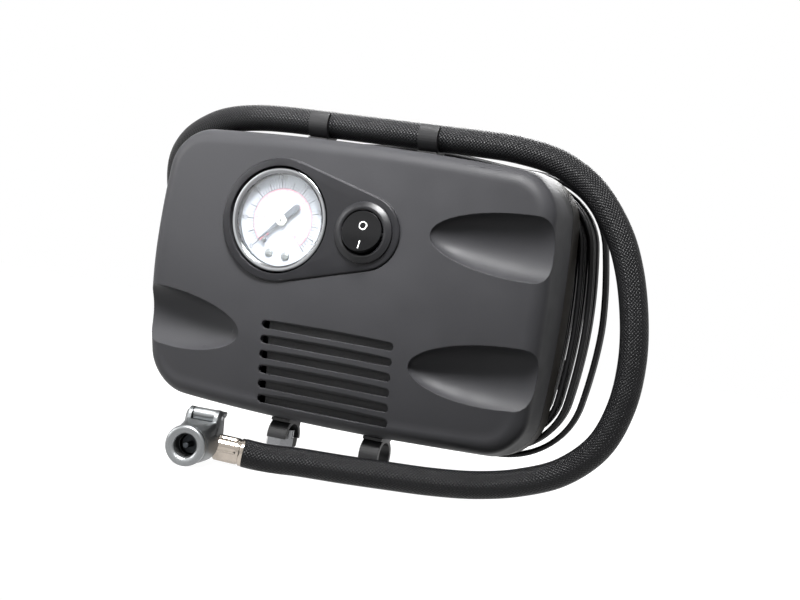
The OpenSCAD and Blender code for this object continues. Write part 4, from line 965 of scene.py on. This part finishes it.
def lug(x, z, dx, dz, reach):
    """A lug on the drum's edge, with softened corners, that keeps the lead from slipping off."""
    ends = ((DRUM_DEPTH - LUG_T, DRUM_DEPTH, 0, 0, 0), (DRUM_DEPTH - 2.2, DRUM_DEPTH - 0.4, *reach, 0.7))
    points = []
    for low, high, ax, az, soft in ends:
        for y, less in ((low, soft), (low + 0.35, 0), (high - 0.35, 0), (high, soft)):
            points += [(x + ax + sx * (dx / 2 - less), y, z + az + sz * (dz / 2 - less))
                       for sx in (-1, 1) for sz in (-1, 1)]
    return hull("lug", points)


def foot(x):
    """A leg under the drum, tapered, with a rounded sole."""
    points = [(x + sx * 5, y, z) for sx in (-1, 1) for y in (DRUM_DEPTH - 9, DRUM_DEPTH)
              for z in (DRUM_LOW, DRUM_LOW + 2)]
    for t in turns(30, 0, 3):
        less, up = SOLE_SOFT * (1 - cos(t)), SOLE_SOFT * (1 - sin(t))
        points += [(x + sx * (4 - less), y, up)
                   for sx in (-1, 1) for y in (DRUM_DEPTH - 8 + less, DRUM_DEPTH - 1 - less)]
    return hull("foot", points)


def screw_bores(length):
    """For each screw the bore for its shank, and the wider one that its head sinks in."""
    return [rod("bore", (x, y, z), 1, length, radius, 48) for x, z, _ in SCREW_PLACES
            for y, radius in ((-1, SHANK_R), (HEAD_Y, HEAD_R))]


def gland_bore():
    made = rod("bore", (0, 0, -12), 2, 24, HOSE_D / 2 + 0.2)
    made.data.transform(point(GLAND_AT, GLAND_DIR))
    return made


def lead_groove():
    """The round groove in which the lead's strain relief comes out of the band."""
    start = lead_point(0)
    ahead = (lead_point(LEAD_TURNS / SOURCE_STEPS) - start).normalized()
    return hull("groove", [start + t * ahead + 4.2 * Vector((x, h, z)) for t in (-RELIEF_L - 3, 20)
                           for r, h in half_circle(1, 16) for x, z in circle(r, 32)])


class INFLATOR_OT_rear_shell(bpy.types.Operator):
    """Makes the rear shell with its side band, winding drum, lugs, trough and legs"""
    bl_idname = "inflator.rear_shell"
    bl_label = "Rear shell"

    def execute(self, context):
        bend_y = BAND_DEPTH - BACK_SOFT
        shell = skin("rear_shell", [band_ring(0, 0)] + [
            band_ring(BACK_SOFT * (1 - cos(t)), bend_y + BACK_SOFT * sin(t)) for t in turns(15, 0, 6)])
        lip = slab(-2, 3, WALL + 0.35)
        carve(lip, ("UNION", [slab(0, 3, WALL - 0.3)]), ("DIFFERENCE", [slab(-3, 7, WALL + 1.3)]))
        hollow = drum("hollow", -5, DRUM_DEPTH - WALL + 5, -WALL)
        carve(hollow, ("DIFFERENCE", [trough(WALL)] + at_screws("post", 0, 40, POST_R)))
        added = [lip, drum("drum", BAND_DEPTH - WALL, DRUM_DEPTH - BAND_DEPTH + WALL, 0)]
        added += [lug(x, DRUM_HIGH - 2, 16, 4, (0, 10)) for x in (-40, 24)]
        added += [lug(DRUM_W / 2 - 2, z, 4, 12, (9, 0)) for z in (50, 92)]
        added += [lug(2 - DRUM_W / 2, 43, 4, 10, (-9, 0))]
        added += [foot(x) for x in FOOT_X]
        carve(shell, ("DIFFERENCE", [slab(-1, BAND_DEPTH - WALL + 1, WALL)]), ("UNION", added),
              ("DIFFERENCE", [hollow, trough(0)] + screw_bores(50) + [gland_bore(), lead_groove()]))
        carve(shell, ("UNION", at_screws("post", -0.5, 10, POST_R - 0.2)), ("DIFFERENCE", screw_bores(20)))
        dress(shell, "rear", replaces=["rear_housing"], crease=28)
        finish_nodes(plated=["housing_screws"])
        return {"FINISHED"}


# --- Gauge ---

GAUGE_Y, DIAL_Y, NEEDLE_ZERO, NEEDLE_SWEEP = FACE_Y, -22.9, 225, 270
CUP_DEPTH, RIM_SOFT, INK_T = 24.5, 0.75, 0.03
DIAL_SCREWS, STOP_PIN = ((-3.6, -13), (3.4, -13.4)), (-6.2, -8.3)
# The needle's reach, its tail and half its tail's width, and where its staff ends in the works
NEEDLE_L, NEEDLE_TAIL, NEEDLE_HALF, STAFF_END = 12.5, 9.2, 1.3, -12.5
PINION_TEETH, PINION_R, PINION_MODULE, PINION_Y = 8, 1.6, 0.4, (-18.5, -17.7)


def dial_at(radius, angle):
    """A point of the dial, at an angle counted from the right, counter-clockwise seen from the front."""
    a = radians(angle)
    return Vector((GAUGE_X + radius * cos(a), DIAL_Y, CONTROL_Z + radius * sin(a)))


def scale_angle(share):
    """The angle of a share of the whole scale."""
    return NEEDLE_ZERO - NEEDLE_SWEEP * share


def stroke(path, width):
    """A flat printed line along a path."""
    half = width / 2
    return tube("stroke", path, [(-INK_T, -half), (INK_T, -half), (INK_T, half), (-INK_T, half)])


def lettered(words, size, at):
    """Printed figures that face the front, with their middle at a point."""
    curve = bpy.data.curves.new("figures", "FONT")
    curve.body, curve.size = words, size * MM
    curve.align_x, curve.align_y = "CENTER", "CENTER"
    curve.extrude, curve.resolution_u = INK_T * MM, 6
    made = stand("figures", curve)
    made.matrix_world = move(at) @ Matrix.Rotation(pi / 2, 4, "X")
    bpy.context.view_layer.update()
    mesh = bpy.data.meshes.new_from_object(made)
    mesh.transform(made.matrix_world)
    bpy.data.objects.remove(made)
    bpy.data.curves.remove(curve)
    return stand("figures", mesh)


def printed_scale(name, radius, width, parts, every, long, short, figures):
    """A scale: a curved line with its ticks and its figures.

    Each part has a tick, and a long one comes after every so many parts. long and short give a tick's far
    radius and its width, and figures gives the last value, the step, the size and the radius of the figures.
    """
    steps = NEEDLE_SWEEP // 2
    made = [stroke([dial_at(radius, scale_angle(k / steps)) for k in range(steps + 1)], width)]
    for k in range(parts + 1):
        tip, thick = short if k % every else long
        made.append(stroke([dial_at(r, scale_angle(k / parts)) for r in sorted((radius, tip))], thick))
    top, step, size, middle = figures
    for value in range(0, top + 1, step):
        made.append(lettered(str(value), size, dial_at(middle, scale_angle(value / top))))
    return gather(name, made)


def dial_screws():
    made = []
    for x, z in DIAL_SCREWS:
        at = Vector((GAUGE_X + x, DIAL_Y, CONTROL_Z + z))
        head = turned("head", at, 1, [(0, -0.75), (0.9, -0.7), (1.4, -0.5), (1.6, -0.25), (1.6, 0.05),
                                      (0.65, 0.05), (0.65, 0.8), (0, 0.8)], 48)
        slot = block("slot", at - Vector((1.8, 1, 0.25)), at + Vector((1.8, -0.35, 0.25)))
        made.append(carve(head, ("DIFFERENCE", [slot])))
    return gather("dial_screws", made)


def needle_blade():
    """The flat pointer at zero: a long taper, and a broad tail with a round end."""
    side = [(0.25, 0.25 - NEEDLE_L), (0.9, 0), (1.15, 4), (NEEDLE_HALF, 7.6)]
    end = [(NEEDLE_HALF * cos(a), NEEDLE_TAIL - NEEDLE_HALF + NEEDLE_HALF * sin(a)) for a in turns(15, 1, 11)]
    shape = side + end + [(-x, z) for x, z in reversed(side)] + [(0, -NEEDLE_L)]
    blade = skin("needle_blade", [[(x, y, z) for x, z in shape] for y in (-0.2, 0.2)])
    blade.data.transform(move((GAUGE_X, DIAL_Y - 1.1, CONTROL_Z))
                         @ Matrix.Rotation(radians(270 - NEEDLE_ZERO), 4, "Y"))
    return blade


def needle_staff():
    """The needle's staff with the pinion that the sector turns."""
    staff = rod("staff", (GAUGE_X, DIAL_Y - 2, CONTROL_Z), 1, STAFF_END - DIAL_Y + 2, 0.6, 32)
    teeth = []
    for i in range(PINION_TEETH):
        for share, out in ((-0.31, -1.1), (-0.15, 0.7), (0.15, 0.7), (0.31, -1.1)):
            a, r = radians(22.5 + (i + share) * 45), PINION_R + PINION_MODULE * out
            teeth.append((r * cos(a), r * sin(a)))
    pinion = skin("pinion", [[(GAUGE_X + x, y, CONTROL_Z + z) for x, z in teeth] for y in PINION_Y])
    return gather("needle_staff", [staff, pinion])


class INFLATOR_OT_gauge(bpy.types.Operator):
    """Makes the pressure gauge: case and rim, lens, dial with its print, screws, needle and hub"""
    bl_idname = "inflator.gauge"
    bl_label = "Gauge"

    def execute(self, context):
        r, at, middle = GAUGE_D / 2, (GAUGE_X, GAUGE_Y, CONTROL_Z), (GAUGE_X, DIAL_Y, CONTROL_Z)
        rim = [(r - RIM_SOFT * (1 - sin(t)), RIM_SOFT * (1 - cos(t))) for t in turns(15, 0, 6)[::-1]]
        cup = turned("gauge_cup", at, 1, [
            (0, CUP_DEPTH - 0.8), (0, CUP_DEPTH), (r - 1.4, CUP_DEPTH), (r - 1.4, 5.5), (r, 5.5)] + rim + [
            (r - 1.5, 0.1), (r - 1.9, 0.5), (r - 2.3, 0.8), (r - 1.75, 0.8), (r - 1.75, 2.5), (r - 2.2, 2.5),
            (r - 2.2, CUP_DEPTH - 0.8)], 160)
        carve(cup, ("DIFFERENCE", [rod("bore", (GAUGE_X, -5, CONTROL_Z - 12.4), 1, 5, 3, 48)]))
        dress(cup, "chrome", replaces=["gauge_case"], crease=35)
        crown = [(k / 16 * (r - 2.5), 0.25 + 0.65 * (k / 16) ** 2) for k in range(17)]
        lens = turned("lens", at, 1, crown + [(r - 1.8, 0.9), (r - 1.8, 2.4), (0, 2.4)], 128)
        dress(lens, "acrylic", replaces=["gauge_lens"])
        lens.visible_shadow = False
        dress(rod("dial_plate", middle, 1, 0.6, r - 2.4, 128), "dial", replaces=["gauge_dial"])
        pin = turned("stop_pin", (GAUGE_X + STOP_PIN[0], DIAL_Y, CONTROL_Z + STOP_PIN[1]), 1,
                     [(0, -1.6), (0.55, -1.6), (0.8, -1.35), (0.8, 0.3), (0, 0.3)], 32)
        dress(pin, "tarnished")
        black = printed_scale("dial_black_print", 12.3, 0.18, 52, 4, (15, 0.4), (13.8, 0.24),
                              (260, 40, 2.8, 16.3))
        dress(black, "black_ink")
        red = printed_scale("dial_red_print", 11.9, 0.22, 18, 3, (9.9, 0.34), (10.7, 0.2), (18, 3, 2.3, 7.9))
        dress(red, "red_ink")
        dress(dial_screws(), "tarnished", replaces=["gauge_dial_screws"])
        dress(needle_blade(), "pointer", body="needle", replaces=["gauge_needle"])
        dress(needle_staff(), "tarnished", body="needle")
        hub = turned("needle_hub", middle, 1, [(0, -1.75), (1.5, -1.75), (2, -1.55), (2.2, -1.2), (2.2, -0.8),
                                               (0, -0.8)], 64)
        dress(hub, "hub", body="needle")
        finish_nodes(brass=["gauge_sector", "gauge_movement", "bourdon_tube", "gauge_socket"],
                     silicone=["gauge_tube"])
        return {"FINISHED"}


# --- Switch ---

ROCKER_Y, ROCKER_TILT, ROCKER_R, SWITCH_R = -28.8, 11, 8.05, 9.8
# The rocker's hollow front is part of a cylinder: its radius, and its axis in front of the pivot
BOWL_R, BOWL_Y = 40, -41.6
MARK_HALF, MARK_T, RING_R, RING_Z = 0.21, 0.03, 1.4, 2.2


def on_key(x, z):
    """A point on the rocker's hollow front."""
    return Vector((x, BOWL_Y + sqrt(BOWL_R ** 2 - z * z), z))


def switch_case():
    rim, axle_half = SWITCH_D / 2, 9.2
    crown = [(rim - 0.1 * k * k / 9, 2 - 0.3 * k) for k in range(1, 4)]
    crown += [(rim - 0.1 - 1.9 * sin(t) ** 1.2, 1.1 - 1.1 * sin(t)) for t in turns(15, 1, 6)]
    made = turned("switch_case", (SWITCH_X, -30, CONTROL_Z), 1, [
        (0, 10), (0, 17), (SWITCH_R, 17), (SWITCH_R, 2), (rim, 2)] + crown + [
        (9.0, 0.05), (8.6, 0.2), (8.35, 0.6), (8.35, 8), (7, 10)], 160)
    return carve(made, ("DIFFERENCE", [
        rod("bore", (SWITCH_X - axle_half, ROCKER_Y, CONTROL_Z), 0, 2 * axle_half, 1.05, 32)]))


def rocker_key():
    """The rocker: a ball with a hollow front and a flat back, on its axle."""
    made = turned("rocker_key", (0, 0, 0), 1, half_circle(ROCKER_R, 48), 128)
    return carve(made, ("DIFFERENCE", [rod("bowl", (-20, BOWL_Y, 0), 0, 40, BOWL_R, 720),
                                       block("below", (-20, 3, -20), (20, 20, 20))]),
                 ("UNION", [rod("axle", (-9, 0, 0), 0, 18, 1, 48)]))


def rocker_marks():
    """The ring of off above the bar of on."""
    flat = [(-MARK_T, -MARK_HALF), (MARK_T, -MARK_HALF), (MARK_T, MARK_HALF), (-MARK_T, MARK_HALF)]
    ring = tube("ring", [on_key(0.1 + RING_R * cos(a), RING_Z + RING_R * sin(a))
                         for a in turns(7.5, 0, 48)], flat)
    bar = tube("bar", [on_key(0.3, z) for z in (-3.6, -5.1, -6.7)], flat)
    return gather("rocker_marks", [ring, bar])


class INFLATOR_OT_switch(bpy.types.Operator):
    """Makes the round rocker switch with its marks"""
    bl_idname = "inflator.switch"
    bl_label = "Switch"

    def execute(self, context):
        dress(switch_case(), "bezel", replaces=["switch_body"], crease=40)
        key, marks = rocker_key(), rocker_marks()
        for piece in (key, marks):
            piece.data.transform(move((SWITCH_X, ROCKER_Y, CONTROL_Z))
                                 @ Matrix.Rotation(radians(-ROCKER_TILT), 4, "X"))
        dress(key, "rocker", body="rocker", replaces=["switch_rocker"], crease=25)
        dress(marks, "mark", body="rocker")
        finish_nodes(brass=["switch_terminals"])
        return {"FINISHED"}


# --- Chuck ---

# The chuck lies turned to the left. Its own places count from under the hinge, with the mouth to -Y
CHUCK_TURN, CHUCK_Z, MOUTH = radians(11.6), 7.4, -20.4
MOUTH_AT, HINGE = (0, MOUTH, CHUCK_Z), Vector((-27.3, -57, 17))
LIP_R, LIP_SOFT, MOUTH_R, SEAL_R, PIN_BORE_R = 7.35, 1.3, 3.9, 5.2, 1.05


def on_chuck(piece):
    """Moves a piece made with the mouth to -Y and the hinge over the origin to where the chuck lies."""
    piece.data.transform(move((HINGE.x, HINGE.y, 0)) @ Matrix.Rotation(CHUCK_TURN, 4, "Z"))
    return piece


def pin_bore():
    return rod("bore", (-9, 0, HINGE.z), 0, 18, PIN_BORE_R, 32)


def ear(side):
    """One of the two ears that hold the lever's pin. A narrower, thicker core bevels its edges."""
    plate, core = (4.9, 0.7, 64, ((15.7, 3.9), (10, 5.6))), (5.35, 1.15, 48, ((15.5, 2.9), (9, 4.6)))
    points = []
    for out, half, sides, places in (plate, core):
        points += discs([((side * out - half, 0, z), r) for z, r in places], 0, 2 * half, sides)
    return hull("ear", points)


def chuck_casting():
    """The casting: a round body that tapers to the back, two ears, a saddle and a neck to the ferrule."""
    made = turned("chuck_casting", MOUTH_AT, 1, [
        (0, 2.9), (6.8, 2.9), (7.05, 3.3), (7.15, 7), (7.25, 12), (7.2, 17), (6.9, 20.5), (6.2, 23.5),
        (5.1, 26), (3.6, 27.6), (1.8, 28.4), (0, 28.5)], 128)
    saddle = hull("saddle", discs([((0, MOUTH + 3.4, CHUCK_Z), 6.7)], 1, 1, 96)
                  + discs([((-5.7, 0, 12.4), 3.7)], 0, 11.4, 48))
    bores = [rod("bore", (0, MOUTH - 1, CHUCK_Z), 1, length, radius)
             for length, radius in ((13.5, MOUTH_R), (8, SEAL_R))]
    gap = block("gap", (-4.2, -5.5, 14.3), (4.2, 9, 22))
    carve(made, ("UNION", [ear(-1), ear(1), saddle]), ("DIFFERENCE", bores + [pin_bore(), gap]))
    on_chuck(made)
    inward = Vector((-27.6, -55.5, CHUCK_Z)) - FERRULE_TO
    neck = turned("neck", (0, 0, 0), 2, [(0, 0), (5, 0), (5.5, 0.5), (5.7, 2.5), (5.7, 4.2), (0, 4.2)], 64)
    neck.data.transform(point(FERRULE_TO, inward))
    return carve(made, ("UNION", [neck]))


def mouth_lip():
    front = [(LIP_R - LIP_SOFT * (1 - sin(t)), LIP_SOFT * (1 - cos(t))) for t in turns(15, 0, 6)]
    return on_chuck(turned("mouth_lip", MOUTH_AT, 1, [
        (MOUTH_R, 1.8), (4.05, 1.1), (4.5, 0.45), (SEAL_R, 0.08)] + front + [
        (LIP_R, 2.3), (7.1, 2.75), (6.8, 2.9), (5.15, 2.9), (5.15, 6.5), (4.7, 6.5), (4.7, 1.8)], 128))


def thumb_lever():
    """The lever: a barrel on the pin, and a tongue that turns up at its end."""
    made = rod("thumb_lever", (-4, 0, HINGE.z), 0, 8, 2.5)
    side = [(0, 2.4), (0, -0.6), (3.5, -1.5), (9, -1.5), (12.8, -1.3), (14.4, -0.7), (15, 0.1), (14.5, 0.8),
            (12, 0.3), (8, 0.2), (4, 1.4)]
    tongue = skin("tongue", [[(x, y, HINGE.z + z) for y, z in side] for x in (-3.9, 3.9)])
    return on_chuck(carve(made, ("UNION", [tongue]), ("DIFFERENCE", [pin_bore()])))


def lever_pin():
    return on_chuck(turned("lever_pin", (-6.7, 0, HINGE.z), 0, [
        (0, 0), (0.7, 0), (1, 0.3), (1, 13.1), (0.7, 13.4), (0, 13.4)], 32))


class INFLATOR_OT_chuck(bpy.types.Operator):
    """Makes the lever chuck: casting, mouth lip, lever and its pin, and finishes the seal and the depressor
    """
    bl_idname = "inflator.chuck"
    bl_label = "Chuck"

    def execute(self, context):
        dress(chuck_casting(), "zinc", replaces=["chuck_body"], crease=40)
        dress(mouth_lip(), "zinc_bright", replaces=["chuck_mouth_ring"], crease=40)
        dress(thumb_lever(), "zinc_bright", body="chuck_lever", replaces=["chuck_lever"],
              crease=35)
        dress(lever_pin(), "steel", replaces=["chuck_lever_pin"])
        # The depressor's pin takes the zinc darkened with painted shade of the mouth
        finish_nodes(rubber=["chuck_seal"], dark_zinc=["chuck_depressor"])
        return {"FINISHED"}


# --- Clips, plug and works ---

class INFLATOR_OT_clips(bpy.types.Operator):
    """Finishes the hose clips and the nozzle adapter"""
    bl_idname = "inflator.clips"
    bl_label = "Clips"

    def execute(self, context):
        clips = ["hose_clip_" + row + side for row in ("top", "bottom") for side in ("_left", "_right")]
        finish_nodes(clip=clips, chrome=["nozzle_adapter"])
        return {"FINISHED"}


class INFLATOR_OT_plug(bpy.types.Operator):
    """Finishes the vehicle plug"""
    bl_idname = "inflator.plug"
    bl_label = "Plug"

    def execute(self, context):
        finish_nodes(plug=["plug_body", "plug_nose_ring"], chrome=["plug_tip"],
                     steel=["plug_tip_spring", "plug_side_contacts"], fuse=["plug_fuse"])
        return {"FINISHED"}


class INFLATOR_OT_works(bpy.types.Operator):
    """Finishes the motor, the pump and the wires"""
    bl_idname = "inflator.works"
    bl_label = "Works"

    def execute(self, context):
        finish_nodes(
            can=["motor_can"], plug=["motor_end_cap"], ferrite=["motor_magnets"], copper=["motor_rotor"],
            steel=["motor_pinion", "crank_shaft", "wrist_pin", "valve_spring"],
            plated=["motor_screws", "head_screws"], brass=["crank_bushes"], nylon=["crank_gear"],
            cast=["pump_frame", "connecting_rod", "piston", "pump_cylinder", "cylinder_head"],
            rubber=["piston_seal", "valve_disc"], red_pvc=["wiring"])
        return {"FINISHED"}


# --- Add-on ---

OPERATORS = (INFLATOR_OT_stage, INFLATOR_OT_chuck, INFLATOR_OT_plug, INFLATOR_OT_hose, INFLATOR_OT_lead,
             INFLATOR_OT_front_shell, INFLATOR_OT_rear_shell, INFLATOR_OT_gauge, INFLATOR_OT_switch,
             INFLATOR_OT_clips, INFLATOR_OT_works)


class INFLATOR_PT_main(bpy.types.Panel):
    bl_label = "Tire inflator"
    bl_idname = "INFLATOR_PT_main"
    bl_space_type = "VIEW_3D"
    bl_region_type = "UI"
    bl_category = "Inflator"

    def draw(self, context):
        scene = context.scene
        for title, settings in (("Look", scene.inflator_look), ("Shape", scene.inflator_shape),
                                ("Stage", scene.inflator_stage)):
            box = self.layout.box()
            box.label(text=title)
            for name in settings.bl_rna.properties.keys():
                if name not in {"rna_type", "name"}:
                    box.prop(settings, name)
        for made in OPERATORS:
            self.layout.operator(made.bl_idname)


CLASSES = (InflatorLook, InflatorShape, InflatorStage) + OPERATORS + (INFLATOR_PT_main,)


def register():
    for made in CLASSES:
        bpy.utils.register_class(made)
    bpy.types.Scene.inflator_look = PointerProperty(type=InflatorLook)
    bpy.types.Scene.inflator_shape = PointerProperty(type=InflatorShape)
    bpy.types.Scene.inflator_stage = PointerProperty(type=InflatorStage)


def unregister():
    del bpy.types.Scene.inflator_stage
    del bpy.types.Scene.inflator_shape
    del bpy.types.Scene.inflator_look
    for made in reversed(CLASSES):
        bpy.utils.unregister_class(made)


def main():
    register()
    for made in OPERATORS:
        group, action = made.bl_idname.split(".")
        getattr(getattr(bpy.ops, group), action)()


if __name__ == "__main__":
    main()
